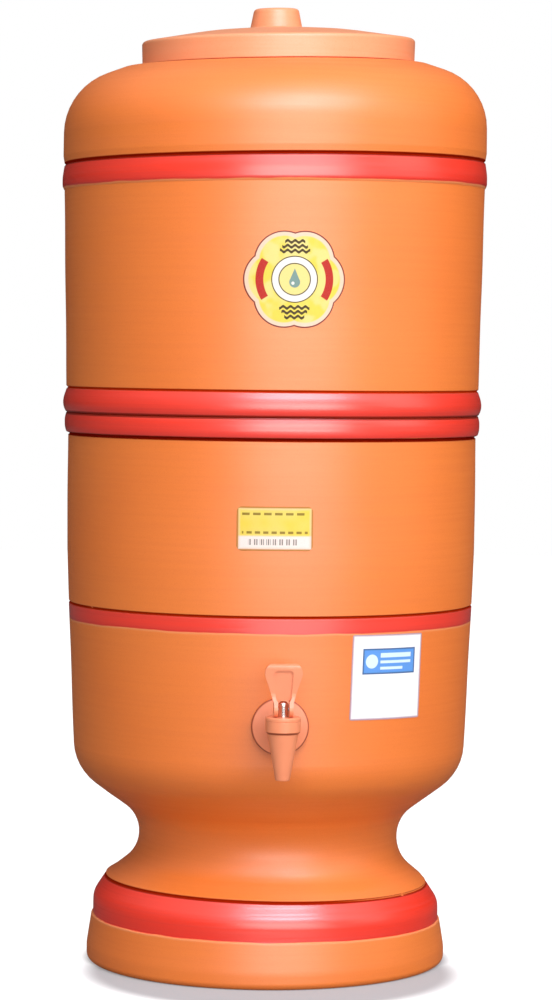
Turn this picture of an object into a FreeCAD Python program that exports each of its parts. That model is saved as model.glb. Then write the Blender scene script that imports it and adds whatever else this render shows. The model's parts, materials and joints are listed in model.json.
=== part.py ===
import FreeCAD, Part
import math
import os

from FreeCAD import Placement, Rotation, Vector

# A gravity water filter of fired clay: a lidded upper chamber holds raw water and a
# ceramic candle, and stands on a footed lower chamber that keeps the clean water and
# carries a plastic lever tap. A float valve under the candle stops the flow when the
# lower chamber is full.
#
# Millimetres. The origin is on the pot's axis, on the floor. +Z is up, and the tap
# points along -Y.

# ---------------------------------------------------------------- driving dimensions

# Heights of the clay, stacked from the floor upwards
foot_rim_h = 27.0          # plain foot rim, up to the step under the base band
base_band_h = 22.0         # painted base band, up to its groove
neck_drop_h = 27.6         # groove to the level where the two neck flares would meet
neck_rise_h = 39.5         # that level to the level of the belly's corner
belly_h = 130.8            # belly's corner to the bend where the wall turns upright
lower_wall_h = 69.1        # bend to the groove under the joint bead
lower_bead_h = 12.5        # groove to the joint between the chambers
upper_bead_h = 14.8        # joint to the groove over the joint bead
upper_wall_h = 118.6       # that groove to the top band
top_band_h = 15.6          # top band, up to its groove
shoulder_h = 45.9          # groove to the level of the shoulder's corner
shoulder_rise_h = 12.5     # shoulder's corner to the mouth rim
lid_rim_h = 14.0
lid_dome_h = 8.2
knob_h = 11.8
mid_band_groove_h = 99.2   # belly's corner to the groove of the painted middle band
foot_flank_h = 9.5         # floor to where the foot rim starts to lean in
base_band_flank_h = 11.4   # step to where the base band starts to lean in
water_floor_drop = 4.2     # belly's corner down to the floor that the water stands on

# Radii of the clay
foot_r = 107.4
foot_top_r = 104.7
base_band_r = 103.7
base_band_top_r = 97.3
base_cove_r = 96.4         # clay just above the base band's groove
neck_meet_r = 63.2         # where the two straight flares of the neck would meet
neck_round = 22.6          # rounding of the neck
belly_r = 116.6
belly_round = 29.4
wall_r = 122.0             # lower chamber at and above its bend
lower_bead_r = 124.2
joint_r = 123.4
upper_bead_r = 125.2
upper_wall_foot_r = 123.2
upper_wall_top_r = 125.4
shoulder_r = 126.1
shoulder_round = 36.8
mouth_rim_r = 90.0         # outer edge of the flat that the lid sits on
mouth_r = 74.0
lid_r = 81.2
lid_dome_r = 45.0          # where the lid's top turns from rise to nearly flat
knob_foot_r = 15.6
knob_top_r = 13.2

# Turning lines and edges
groove_w = 1.9
groove_d = 1.1
groove_root = 0.4          # rounding at the bottom of a turning line
groove_edge = 0.3          # rounding of its two edges
worn_edge = 0.6            # rounding of an outer edge beside a turning line
edge_round = 1.5
band_step = 1.2            # how far the top band stands proud of the wall
band_ramp_h = 1.6          # height over which it steps out
band_crown = 1.1           # how far its upper half leans back in
seam_bevel_h = 2.7         # bevel of each bead towards the joint
bead_crown_h = 6.0         # upper part of the upper bead, which leans back in
bead_crown = 1.4
bead_low_round = 8.0
bead_high_round = 24.0
seam_round = 0.7
shoulder_spring_h = 5.0    # top band's groove to where the shoulder is widest
foot_edge = 4.0
foot_flank_round = 20.0
base_band_round = 12.0
bend_round = 300.0
mouth_edge = 4.0
mouth_lip_t = 9.4
shoulder_inner_drop = 10.4 # shoulder's outer corner down to its inner one
floor_cove = 14.0
belly_inner_round = 18.4

# Clay thicknesses
wall = 9.0
floor_t = 12.0
foot_ring_w = 14.5
foot_wall = 15.5           # clay behind the base band
foot_throat_r = 68.4       # hollow under the water floor
foot_hollow_flare = 12.4   # base band's groove up to where the hollow starts to widen
foot_hollow_drop = 7.6     # base band's groove down to where it stops widening
hollow_round = 12.0
spigot_h = 8.0
spigot_clearance = 1.4
lid_t = 9.0
lid_lip_h = 8.0
lid_lip_t = 8.5
lid_lip_clearance = 1.8
lid_seat_round = 1.2
lid_edge_round = 2.2
lid_dome_round = 150.0
lid_edge_draft = 0.4
lid_dome_drop = 1.8        # knob's foot down to the turn of the dome
knob_round = 2.5

# Candle
stem_hole_r = 6.0
stem_r = 5.0
stem_bore_r = 2.6
stem_below_nut = 10.0      # length of stem that the float valve screws on to
candle_r = 24.0
candle_h = 92.0
candle_t = 5.0
candle_cup_t = 2.4
candle_cup_h = 12.0
candle_cup_floor = 4.0
candle_core_gap = 0.4
gasket_r = 14.0
gasket_t = 2.5
wing_hub_r = 9.0
wing_nut_h = 9.0
wing_reach = 18.0
wing_t = 3.0
wing_low_round = 3.0
wing_high_round = 3.5
wing_top_drop = 2.5        # nut's seat down to the wings' tops
wing_slope = 1.0           # how far each edge of a wing rises or falls towards its tip
hub_low_r = 7.7
thread_gap = 0.05
ring_clearance = 0.1       # gaskets and washers round what passes through them
candle_fit = 0.1           # candle in its cup
candle_dome_round = 21.6
candle_bore_round = 16.2
cup_round = 2.0

# Float valve
valve_r = 9.5
valve_h = 15.0
valve_outlet_r = 3.2
valve_outlet_h = 3.0
valve_bore_r = 1.8
float_hang = 28.0          # degrees below level when the lower chamber is empty
float_pivot_y = 13.0       # pivot's distance from the stem, on the tap's side
float_reach = 66.0         # pivot's axis to the ball's centre, along the arm
float_r = 17.0
arm_w = 5.0
arm_t = 3.4
ear_t = 2.2
ear_gap = 0.4
float_pin_r = 1.2
float_boss_r = 3.2
arm_tip_l = 8.0            # round end of the arm, pressed into the ball
pad_sunk = 1.0             # how deep the rubber pad sits in the arm
pad_r = 4.4
pad_t = 1.6
valve_shut_gap = 0.3
valve_nut_gap = 0.6
socket_spare = 0.4         # depth left under the stem's end
ear_back = 5.2             # bracket's reach behind the valve's axis
ear_rise = 5.0             # how far the bracket laps up the valve's side
pin_proud = 0.6
arm_in_ball = 4.0
arm_tip_back = 1.0         # length of the tip that lies inside the arm
pad_rim = 0.6

# Tap
tap_above_floor = 41.7     # tap's axis above the water floor
tap_reach = 31.8           # wall to the barrel's axis
tap_hole_clearance = 1.0
flange_r = 16.4
flange_t = 3.2
shank_r = 7.5
shank_bore_r = 3.0
tap_gasket_r = 13.0
outer_gasket_t = 1.3
inner_gasket_t = 2.5
tap_nut_r = 14.0
tap_nut_t = 7.0
shank_spare = 2.5
nut_corner_round = 1.0
flange_bevel = 1.6
neck_flare = 1.6
neck_flare_l = 2.4
neck_flare_round = 2.0
collar_rise = 0.5          # tap's axis to the collar's lower edge
collar_draft = 0.1
gasket_overlap = 3.0       # how far the gasket blanks run into the wall before it trims them
tap_neck_r = 6.0
collar_r = 9.9
collar_up = 6.7            # tap's axis to the collar's top
barrel_r = 8.8
nozzle_r = 4.0
nozzle_down = 26.7         # tap's axis to the nozzle's end
outlet_r = 2.7
chamber_r = 5.8
seat_down = 7.7            # tap's axis to the valve seat
bonnet_h = 2.3
bonnet_plug_h = 3.4
bonnet_plug_bore_r = 4.6
bonnet_roof = 1.7
tap_stem_r = 2.95
tap_stem_clearance = 0.06
stem_washer_t = 1.0
cup_r = 4.7
cup_h = 4.4
cup_lap = 1.0              # valve seat up to the cup's widest level
cup_nose = 1.0             # length of its nose in the outlet
cup_nose_gap = 0.4
cup_taper = 0.3
cup_fit = 0.02
seat_bevel = 1.6
seat_bevel_drop = 2.0
seat_rise = 0.6            # rise of the chamber's floor towards its wall
stem_collar_t = 0.8
stem_collar_r = 4.2
stem_core_r = 1.8          # stem's tip inside the silicone cup
spring_wire_r = 0.35
spring_gap = 0.35          # between the coil and the stem
spring_turns = 4.5
lever_foot_gap = 0.25
cam_r = 3.9
cam_offset = 3.6
lever_up = 25.6            # pivot to the lever's top
lever_foot_half = 5.4
lever_half = 10.5
lever_t = 3.8
lever_lean = 2.2
lever_top_round = 2.4
lever_corner_round = 5.0
lever_back_round = 8.0
lever_heel_round = 3.0
foot_face_h = 1.0          # pivot to the top of the fork's upright front
foot_face_round = 3.5
dish_depth = 1.1
dish_top_half = 5.5
dish_low_half = 4.3
dish_top_drop = 3.6        # lever's top down to the dish's top
dish_round = 2.2
lever_crown = 0.8          # how far the top edge bows up in the middle
lever_top_draft = 0.5
lever_shoulder = 19.5      # pivot to where the paddle is widest
lever_waist = 3.6          # pivot to where the fork starts to widen
lever_waist_up = 8.0       # pivot to the thinnest part of the paddle
lever_back = 1.4           # how far the paddle's back lies behind the pin
lever_heel = 1.8           # how far the fork's heel runs past that
lever_face_back = 1.0      # how far the paddle's face leans past its thickness
stem_head_up = 1.6         # pivot to where the stem's round end starts
slot_side_gap = 0.25
slot_roof_gap = 0.7
tap_pin_r = 1.0
pin_clearance = 0.05
pin_short = 0.2            # how far the pin's ends lie inside the fork
fine_round = 0.3           # moulded edges of three sizes
edge_of_mould = 0.5
full_round = 1.0
past = 1.0                 # how far a cutter runs beyond what it cuts
deep = 40.0                # a cutter's length where it has to clear the whole lever

# Labels
label_t = 0.2
label_gap = 0.05
badge_up = 78.0            # joint to the badge's centre
badge_tip_r = 28.8
badge_notch_r = 26.2
badge_turn = 2.4           # degrees to the right of the tap
info_w = 43.2
info_h = 25.0
info_down = 62.6           # joint down to the info label's centre
info_turn = -2.0           # degrees to the right of the tap
info_round = 3.0
rating_size = 49.0
rating_up = 64.4           # belly's corner to the rating label's centre
rating_turn = 31.8         # degrees to the right of the tap
rating_lean = 1.3          # degrees it was stuck on out of true, its right side low
rating_round = 1.2

# ---------------------------------------------------------------- levels from the floor

base_step_z = foot_rim_h
base_groove_z = base_step_z + base_band_h
neck_z = base_groove_z + neck_drop_h
belly_z = neck_z + neck_rise_h
bend_z = belly_z + belly_h
lower_groove_z = bend_z + lower_wall_h
joint_z = lower_groove_z + lower_bead_h
upper_groove_z = joint_z + upper_bead_h
band_low_z = upper_groove_z + upper_wall_h
band_groove_z = band_low_z + top_band_h
shoulder_z = band_groove_z + shoulder_h
rim_z = shoulder_z + shoulder_rise_h
lid_edge_z = rim_z + lid_rim_h
lid_top_z = lid_edge_z + lid_dome_h
knob_top_z = lid_top_z + knob_h

mid_groove_z = belly_z + mid_band_groove_h
water_floor_z = belly_z - water_floor_drop
foot_roof_z = water_floor_z - floor_t
spigot_z = joint_z - spigot_h
upper_floor_z = spigot_z + floor_t
tap_z = water_floor_z + tap_above_floor


def lower_wall_radius(z):
    """Outer radius of the lower chamber's wall between the belly's corner and the joint bead."""
    rise = min(1.0, (z - belly_z) / belly_h)
    return belly_r + (wall_r - belly_r) * rise


def upper_wall_radius(z):
    """Outer radius of the upper chamber's wall between the joint bead and the top band."""
    rise = (z - upper_groove_z) / upper_wall_h
    return upper_wall_foot_r + (upper_wall_top_r - upper_wall_foot_r) * rise


# ---------------------------------------------------------------- outlines and solids


def rounded(corners, lift):
    """A closed wire through corners (a, b) or (a, b, radius), rounded with tangent arcs.

    lift turns a flat point (a, b) into a Vector. A radius is limited by its two sides.
    """
    flat = [Vector(c[0], c[1], 0) for c in corners]
    count = len(flat)
    ways, lengths, trims, turns = [], [], [], []
    for i in range(count):
        step = flat[(i + 1) % count] - flat[i]
        lengths.append(step.Length)
        ways.append(step.normalize())
    for i, corner in enumerate(corners):
        turns.append(ways[i - 1].getAngle(ways[i]))
        radius = corner[2] if len(corner) > 2 else 0.0
        trims.append(radius * math.tan(turns[i] / 2))
    for i in range(count):
        both = trims[i] + trims[(i + 1) % count]
        if both > lengths[i]:
            trims[i] *= 0.98 * lengths[i] / both
            trims[(i + 1) % count] *= 0.98 * lengths[i] / both
    edges, last, first = [], None, None
    for i in range(count):
        start = flat[i] - ways[i - 1] * trims[i]
        end = flat[i] + ways[i] * trims[i]
        if last is not None and last.distanceToPoint(start) > 1e-6:
            edges.append(Part.LineSegment(lift(last), lift(start)).toShape())
        if trims[i] > 1e-6:
            radius = trims[i] / math.tan(turns[i] / 2)
            inward = (ways[i] - ways[i - 1]).normalize()
            to_arc = radius / math.cos(turns[i] / 2) - radius
            middle = flat[i] + inward * to_arc
            edges.append(Part.Arc(lift(start), lift(middle), lift(end)).toShape())
        last = end
        first = start if first is None else first
    if last.distanceToPoint(first) > 1e-6:
        edges.append(Part.LineSegment(lift(last), lift(first)).toShape())
    return Part.Wire(edges)


def turned(corners, at=Vector(0, 0, 0), along=Vector(0, 0, 1)):
    """A solid of revolution. Corners are (radius, height, rounding) about the axis at, along."""
    wire = rounded(corners, lambda p: Vector(p.x, 0, p.y))
    solid = Part.Face(wire).revolve(Vector(0, 0, 0), Vector(0, 0, 1), 360)
    solid.Placement = Placement(at, Rotation(Vector(0, 0, 1), along))
    return solid


def ring(outer, inner, low, high, at=Vector(0, 0, 0), along=Vector(0, 0, 1)):
    """A plain washer or tube from low to high along its axis."""
    return turned([(inner, low), (outer, low), (outer, high), (inner, high)], at, along)


def rod(radius, low, high, at=Vector(0, 0, 0), along=Vector(0, 0, 1)):
    """A plain cylinder from low to high along its axis."""
    return Part.makeCylinder(radius, high - low, at + along * low, along)


def slab(corners, lift, thick):
    """A flat outline pushed through the thickness vector thick."""
    return Part.Face(rounded(corners, lift)).extrude(thick)


def groove(radius, z):
    """Three corners of a turning line cut into a wall of this radius, from below upwards."""
    return [
        (radius, z - groove_w / 2, groove_edge),
        (radius - groove_d, z, groove_root),
        (radius, z + groove_w / 2, groove_edge),
    ]


OUT = Vector(0, -1, 0)     # from the pot's axis out through the tap
UP = Vector(0, 0, 1)
ACROSS = Vector(1, 0, 0)

pieces = {}

# ---------------------------------------------------------------- clay


def lower_outline():
    """Outside of the lower chamber, from the floor up to its rim."""
    line_low = groove_w / 2
    bead_low = lower_groove_z + line_low
    bead_back = lower_bead_r - joint_r
    return [
        (foot_r, 0, foot_edge),
        (foot_r, foot_flank_h, foot_flank_round),
        (foot_top_r, base_step_z - groove_root, worn_edge),
        (base_band_r, base_step_z, groove_root),
        (base_band_r, base_step_z + base_band_flank_h, base_band_round),
        (base_band_top_r, base_groove_z - line_low, worn_edge),
        (base_cove_r - groove_edge, base_groove_z, groove_root),
        (base_cove_r, base_groove_z + line_low, worn_edge),
        (neck_meet_r, neck_z, neck_round),
        (belly_r, belly_z, belly_round),
        *groove(lower_wall_radius(mid_groove_z), mid_groove_z),
        (wall_r, bend_z, bend_round),
        (wall_r, lower_groove_z - line_low, groove_edge),
        (wall_r - groove_d, lower_groove_z, groove_root),
        (lower_bead_r - bead_back, bead_low, worn_edge),
        (lower_bead_r, bead_low + seam_bevel_h, bead_low_round),
        (lower_bead_r, joint_z - seam_bevel_h, bead_low_round),
        (joint_r, joint_z, seam_round),
    ]


def lower_inside():
    """Water space of the lower chamber, from its rim down to the axis."""
    return [
        (wall_r - wall, joint_z, edge_round),
        (wall_r - wall, bend_z, bend_round),
        (belly_r - wall, water_floor_z, belly_inner_round),
        (0, water_floor_z),
    ]


def foot_hollow():
    """Hollow under the foot, from the axis out to the floor."""
    return [
        (0, foot_roof_z),
        (foot_throat_r, foot_roof_z, hollow_round),
        (foot_throat_r, base_groove_z + foot_hollow_flare, hollow_round),
        (foot_r - foot_wall, base_groove_z - foot_hollow_drop, hollow_round),
        (foot_r - foot_ring_w, 0, edge_round),
    ]


def upper_outline():
    """Outside of the upper chamber, from the joint up to the mouth."""
    line_low = groove_w / 2
    band_r = upper_wall_top_r + band_step
    return [
        (joint_r, joint_z, seam_round),
        (upper_bead_r, joint_z + seam_bevel_h, bead_low_round),
        (upper_bead_r, upper_groove_z - bead_crown_h, bead_high_round),
        (upper_bead_r - bead_crown, upper_groove_z - line_low, worn_edge),
        (upper_wall_foot_r - groove_d, upper_groove_z, groove_root),
        (upper_wall_foot_r, upper_groove_z + line_low, groove_edge),
        (upper_wall_top_r, band_low_z, worn_edge),
        (band_r, band_low_z + band_ramp_h, bead_low_round),
        (band_r, (band_low_z + band_groove_z) / 2, bead_high_round),
        (band_r - band_crown, band_groove_z - line_low, worn_edge),
        (upper_wall_top_r - groove_d, band_groove_z, groove_root),
        (upper_wall_top_r, band_groove_z + line_low, groove_edge),
        (shoulder_r, band_groove_z + shoulder_spring_h, shoulder_spring_h),
        (shoulder_r, shoulder_z, shoulder_round),
        (mouth_rim_r, rim_z, mouth_edge),
        (mouth_r, rim_z, edge_round),
    ]


def upper_inside():
    """Raw water space of the upper chamber, from the mouth down to the stem hole."""
    return [
        (mouth_r, rim_z - mouth_lip_t, edge_round),
        (shoulder_r - wall, shoulder_z - shoulder_inner_drop, shoulder_round - wall),
        (upper_wall_foot_r - wall, upper_floor_z, floor_cove),
        (stem_hole_r, upper_floor_z),
        (stem_hole_r, spigot_z),
        (wall_r - wall - spigot_clearance, spigot_z, edge_round),
        (wall_r - wall - spigot_clearance, joint_z),
    ]


tap_wall_r = lower_wall_radius(tap_z)
tap_at = Vector(0, 0, tap_z)
inner_wall_r = tap_wall_r - wall

lower = turned(lower_outline() + lower_inside() + foot_hollow())
tap_hole_r = shank_r + tap_hole_clearance
pieces["lower_chamber"] = lower.cut(rod(tap_hole_r, inner_wall_r - wall, foot_r * 1.5, tap_at, OUT))
pieces["upper_chamber"] = turned(upper_outline() + upper_inside())

lip_r = mouth_r - lid_lip_clearance
pieces["lid"] = turned([
    (0, lid_top_z - lid_t),
    (lip_r - lid_lip_t, lid_edge_z - lid_t, lid_lip_t / 2),
    (lip_r - lid_lip_t, rim_z - lid_lip_h, edge_round),
    (lip_r, rim_z - lid_lip_h, edge_round),
    (lip_r, rim_z),
    (lid_r - lid_edge_draft, rim_z, lid_seat_round),
    (lid_r, lid_edge_z, lid_edge_round),
    (lid_dome_r, lid_top_z - lid_dome_drop, lid_dome_round),
    (knob_foot_r, lid_top_z, edge_round),
    (knob_top_r, knob_top_z, knob_round),
    (0, knob_top_z),
])

# ---------------------------------------------------------------- candle

cup_low_z = upper_floor_z + gasket_t
shell_z = cup_low_z + candle_cup_floor
nut_top_z = spigot_z - gasket_t
nut_low_z = nut_top_z - wing_nut_h
stem_end_z = nut_low_z - stem_below_nut
ring_bore_r = stem_r + ring_clearance
cup_bore_r = candle_r + candle_fit

pieces["candle_gasket"] = ring(gasket_r, ring_bore_r, upper_floor_z, cup_low_z)
pieces["candle_base"] = turned([
    (stem_bore_r, stem_end_z),
    (stem_r, stem_end_z, edge_of_mould),
    (stem_r, cup_low_z),
    (candle_r + candle_cup_t, cup_low_z, cup_round),
    (candle_r + candle_cup_t, cup_low_z + candle_cup_h, full_round),
    (cup_bore_r, cup_low_z + candle_cup_h),
    (cup_bore_r, shell_z),
    (stem_bore_r, shell_z),
])
candle_bore = candle_r - candle_t
pieces["candle_shell"] = turned([
    (candle_bore, shell_z),
    (candle_r, shell_z),
    (candle_r, shell_z + candle_h, candle_dome_round),
    (0, shell_z + candle_h),
    (0, shell_z + candle_h - candle_t),
    (candle_bore, shell_z + candle_h - candle_t, candle_bore_round),
])
core_r = candle_bore - candle_core_gap
core_top_z = shell_z + candle_h - candle_t - candle_core_gap
pieces["candle_core"] = turned([
    (0, shell_z),
    (core_r, shell_z, full_round),
    (core_r, core_top_z, candle_bore_round - candle_core_gap),
    (0, core_top_z),
])
pieces["candle_washer"] = ring(gasket_r, ring_bore_r, nut_top_z, spigot_z)

wing = slab(
    [
        (wing_hub_r / 2, nut_low_z + wing_slope),
        (wing_reach, nut_low_z, wing_low_round),
        (wing_reach, nut_top_z - wing_top_drop, wing_high_round),
        (wing_hub_r / 2, nut_top_z - wing_slope),
    ],
    lambda p: Vector(p.x, -wing_t / 2, p.y),
    Vector(0, wing_t, 0),
)
other_wing = wing.mirror(Vector(0, 0, 0), ACROSS)
hub = turned([
    (0, nut_low_z),
    (hub_low_r, nut_low_z, full_round),
    (wing_hub_r, nut_top_z, edge_of_mould),
    (0, nut_top_z),
])
stem_tunnel = rod(stem_r + thread_gap, nut_low_z - past, nut_top_z + past)
pieces["candle_nut"] = hub.fuse([wing, other_wing]).removeSplitter().cut(stem_tunnel)

# ---------------------------------------------------------------- float valve

valve_top_z = nut_low_z - valve_nut_gap
valve_low_z = valve_top_z - valve_h
outlet_low_z = valve_low_z - valve_outlet_h
pad_low_z = outlet_low_z - valve_shut_gap - pad_t
pivot = Vector(0, -float_pivot_y, pad_low_z + pad_sunk - arm_t / 2)
ear_in = arm_w / 2 + ear_gap
ear_out = ear_in + ear_t


def across(p):
    """A flat point (y, z) in the plane across the pot, at x = 0."""
    return Vector(0, p.x, p.y)


def swung(shape, about, degrees):
    """The shape turned about the X axis through a point."""
    moved = shape.copy()
    moved.rotate(about, ACROSS, degrees)
    return moved


def valve_ear(x):
    """One ear of the bracket that carries the pivot pin, with its hole."""
    ear = slab(
        [
            (-ear_back, valve_low_z),
            (-ear_back, valve_low_z + ear_rise),
            (pivot.y - float_boss_r, valve_low_z + ear_rise, ear_rise / 2),
            (pivot.y - float_boss_r, pivot.z - float_boss_r, float_boss_r),
            (pivot.y + float_boss_r, pivot.z - float_boss_r, float_boss_r),
            (pivot.y + float_boss_r, valve_low_z, full_round),
        ],
        across,
        Vector(ear_t, 0, 0),
    )
    ear.translate(Vector(x, 0, 0))
    return ear


stem_socket = stem_r + thread_gap
valve = turned([
    (valve_bore_r, outlet_low_z),
    (valve_outlet_r, outlet_low_z, fine_round),
    (valve_outlet_r, valve_low_z),
    (valve_r, valve_low_z, full_round),
    (valve_r, valve_top_z, full_round),
    (stem_socket, valve_top_z),
    (stem_socket, stem_end_z - socket_spare),
    (valve_bore_r, stem_end_z - socket_spare),
])
ears = [valve_ear(ear_in), valve_ear(-ear_out)]
pin_hole = rod(float_pin_r, -ear_out - past, ear_out + past, pivot, ACROSS)
pieces["float_valve_body"] = valve.fuse(ears).removeSplitter().cut(pin_hole)
pin_reach = ear_out + pin_proud
pieces["float_pin"] = rod(float_pin_r, -pin_reach, pin_reach, pivot, ACROSS)

# The arm is laid out level, as it lies when the valve is shut, and then hung.
ball_at = Vector(0, pivot.y + float_reach, pivot.z)
arm_end_y = ball_at.y - float_r + arm_in_ball
arm_box = slab(
    [
        (pivot.y, pivot.z - arm_t / 2),
        (arm_end_y, pivot.z - arm_t / 2),
        (arm_end_y, pivot.z + arm_t / 2),
        (pivot.y, pivot.z + arm_t / 2),
    ],
    across,
    Vector(arm_w, 0, 0),
)
arm_box.translate(Vector(-arm_w / 2, 0, 0))
boss = rod(float_boss_r, -arm_w / 2, arm_w / 2, pivot, ACROSS)
pad_seat = rod(pad_r + pad_rim, pivot.z - arm_t / 2, pad_low_z)
arm_tip_at = Vector(0, arm_end_y - arm_tip_back, pivot.z)
arm_tip = rod(arm_t / 2, 0, arm_tip_l, arm_tip_at, Vector(0, 1, 0))
pad = rod(pad_r, pad_low_z, pad_low_z + pad_t)
arm = arm_box.fuse([boss, pad_seat, arm_tip]).removeSplitter()
arm = arm.cut([rod(float_pin_r + pin_clearance, -arm_w, arm_w, pivot, ACROSS), pad])
ball = Part.makeSphere(float_r, ball_at).cut([arm_tip, arm_box])
pieces["float_arm"] = swung(arm, pivot, -float_hang)
pieces["float_ball"] = swung(ball, pivot, -float_hang)
pieces["float_pad"] = swung(pad, pivot, -float_hang)

# ---------------------------------------------------------------- tap

flange_back = tap_wall_r + outer_gasket_t
flange_front = flange_back + flange_t
barrel_out = tap_wall_r + tap_reach
barrel_at = OUT * barrel_out
seat_z = tap_z - seat_down
nozzle_z = tap_z - nozzle_down
collar_z = tap_z + collar_up
bonnet_z = collar_z + bonnet_h
nut_out = inner_wall_r - inner_gasket_t
shank_in = nut_out - tap_nut_t - shank_spare

flange = turned([
    (0, shank_in),
    (shank_r, shank_in, edge_of_mould),
    (shank_r, flange_back),
    (flange_r, flange_back, fine_round),
    (flange_r, flange_front - flange_bevel, full_round),
    (tap_neck_r + neck_flare, flange_front, full_round),
    (tap_neck_r, flange_front + neck_flare_l, neck_flare_round),
    (tap_neck_r, barrel_out),
    (0, barrel_out),
], tap_at, OUT)
barrel = turned([
    (0, nozzle_z),
    (nozzle_r, nozzle_z, edge_of_mould),
    (barrel_r, tap_z, full_round),
    (collar_r - collar_draft, tap_z + collar_rise, edge_of_mould),
    (collar_r, collar_z, fine_round),
    (0, collar_z),
], barrel_at)
water_way = rod(shank_bore_r, shank_in - past, barrel_out, tap_at, OUT)
tap_inside = turned([
    (0, nozzle_z - past),
    (outlet_r, nozzle_z - past),
    (outlet_r, seat_z - seat_bevel_drop),
    (outlet_r + seat_bevel, seat_z),
    (chamber_r, seat_z + seat_rise, edge_of_mould),
    (chamber_r, collar_z + past),
    (0, collar_z + past),
], barrel_at)
pieces["tap_body"] = flange.fuse(barrel).removeSplitter().cut([water_way, tap_inside])

shank_clear_r = shank_r + ring_clearance
gasket_in = tap_wall_r - gasket_overlap
outer_gasket = ring(tap_gasket_r, shank_clear_r, gasket_in, flange_back, tap_at, OUT)
pieces["tap_outer_gasket"] = outer_gasket.cut(lower)
gasket_out = inner_wall_r + gasket_overlap
inner_blank = ring(tap_gasket_r, shank_clear_r, nut_out, gasket_out, tap_at, OUT)
pieces["tap_inner_gasket"] = inner_blank.cut(lower)

nut_corners = [math.pi / 3 * i for i in range(6)]
hexagon = [
    (tap_nut_r * math.cos(turn), tap_nut_r * math.sin(turn), nut_corner_round)
    for turn in nut_corners
]
nut_blank = slab(hexagon, lambda p: Vector(p.x, -nut_out, tap_z + p.y), Vector(0, tap_nut_t, 0))
nut_hole = rod(shank_r + thread_gap, shank_in, nut_out + past, tap_at, OUT)
pieces["tap_nut"] = nut_blank.cut(nut_hole)

roof_z = bonnet_z - bonnet_roof
washer_low_z = roof_z - stem_washer_t
stem_way = tap_stem_r + tap_stem_clearance
pieces["tap_bonnet"] = turned([
    (bonnet_plug_bore_r, collar_z - bonnet_plug_h),
    (chamber_r - thread_gap, collar_z - bonnet_plug_h, fine_round),
    (chamber_r - thread_gap, collar_z),
    (collar_r, collar_z, fine_round),
    (collar_r, bonnet_z, full_round),
    (stem_way, bonnet_z, fine_round),
    (stem_way, roof_z),
    (bonnet_plug_bore_r, roof_z),
], barrel_at)
washer_r = bonnet_plug_bore_r - ring_clearance
pieces["tap_stem_washer"] = ring(washer_r, stem_way, washer_low_z, roof_z, barrel_at)

cup_top_z = seat_z + cup_h
collar_top_z = cup_top_z + stem_collar_t
lever_pin_z = bonnet_z + lever_foot_gap + cam_r
lever_pin = barrel_at + UP * lever_pin_z
stem_dome_z = lever_pin_z + stem_head_up
stem_solid = turned([
    (0, seat_z + cup_lap),
    (stem_core_r, seat_z + cup_lap, edge_of_mould),
    (stem_core_r, cup_top_z),
    (stem_collar_r, cup_top_z, fine_round),
    (stem_collar_r, collar_top_z, fine_round),
    (tap_stem_r, collar_top_z),
    (tap_stem_r, stem_dome_z + tap_stem_r, tap_stem_r - edge_of_mould),
    (0, stem_dome_z + tap_stem_r),
], barrel_at)
pin_tunnel = rod(tap_pin_r, -lever_half, lever_half, lever_pin, ACROSS)
pieces["tap_stem"] = stem_solid.cut(pin_tunnel)
pin_half = lever_foot_half - pin_short
pieces["tap_pin"] = rod(tap_pin_r, -pin_half, pin_half, lever_pin, ACROSS)
pieces["tap_seat_cup"] = turned([
    (0, seat_z - cup_nose),
    (outlet_r - cup_nose_gap, seat_z - cup_nose, fine_round),
    (outlet_r + seat_bevel - cup_nose_gap, seat_z + cup_taper, fine_round),
    (cup_r, seat_z + cup_lap, fine_round),
    (cup_r - cup_taper, cup_top_z, edge_of_mould),
    (stem_core_r + cup_fit, cup_top_z),
    (stem_core_r + cup_fit, seat_z + cup_lap - cup_fit),
    (0, seat_z + cup_lap - cup_fit),
], barrel_at)

spring_r = tap_stem_r + spring_wire_r + spring_gap
spring_low = collar_top_z + spring_wire_r
spring_high = washer_low_z - spring_wire_r
coil = Part.makeHelix((spring_high - spring_low) / spring_turns, spring_high - spring_low, spring_r)
section = Part.Wire(Part.makeCircle(spring_wire_r, Vector(spring_r, 0, 0), Vector(0, 1, 0)))
spring = Part.Wire(coil.Edges).makePipeShell([section], True, True)
spring.translate(barrel_at + UP * spring_low)
pieces["tap_spring"] = spring

# The lever: a dished thumb paddle over a fork whose rounded feet ride on the bonnet.
foot_front = -cam_offset - cam_r
lever_face = lever_back - lever_t
side_corners = [
    (lever_back + lever_heel, -cam_r, lever_heel_round),
    (foot_front, -cam_r, cam_r),
    (foot_front, foot_face_h, foot_face_round),
    (lever_face - lever_face_back, lever_waist_up, lever_corner_round),
    (lever_face - lever_lean, lever_up, lever_top_round),
    (lever_back - lever_lean, lever_up, full_round),
    (lever_back, lever_waist_up, lever_back_round),
    (lever_back + lever_heel, 0, lever_heel_round),
]
top_half = lever_half - lever_top_draft
right_corners = [
    (lever_foot_half, -cam_r - past),
    (lever_foot_half, lever_waist, lever_corner_round),
    (lever_half, lever_shoulder, lever_corner_round),
    (top_half, lever_up, lever_corner_round),
]
left_corners = [(-corner[0], *corner[1:]) for corner in reversed(right_corners)]
crown_corner = (0, lever_up + lever_crown, 2 * lever_up)
front_corners = right_corners + [crown_corner] + left_corners
blank_w = 2 * (lever_half + past)


def lever_side(p):
    """A point (y, z) measured from the lever's pin, just outside the lever's left edge."""
    return lever_pin + Vector(-blank_w / 2, p.x, p.y)


def lever_front(p):
    """A point (x, z) measured from the lever's pin, well in front of it."""
    return lever_pin + Vector(p.x, -deep / 2, p.y)


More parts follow.
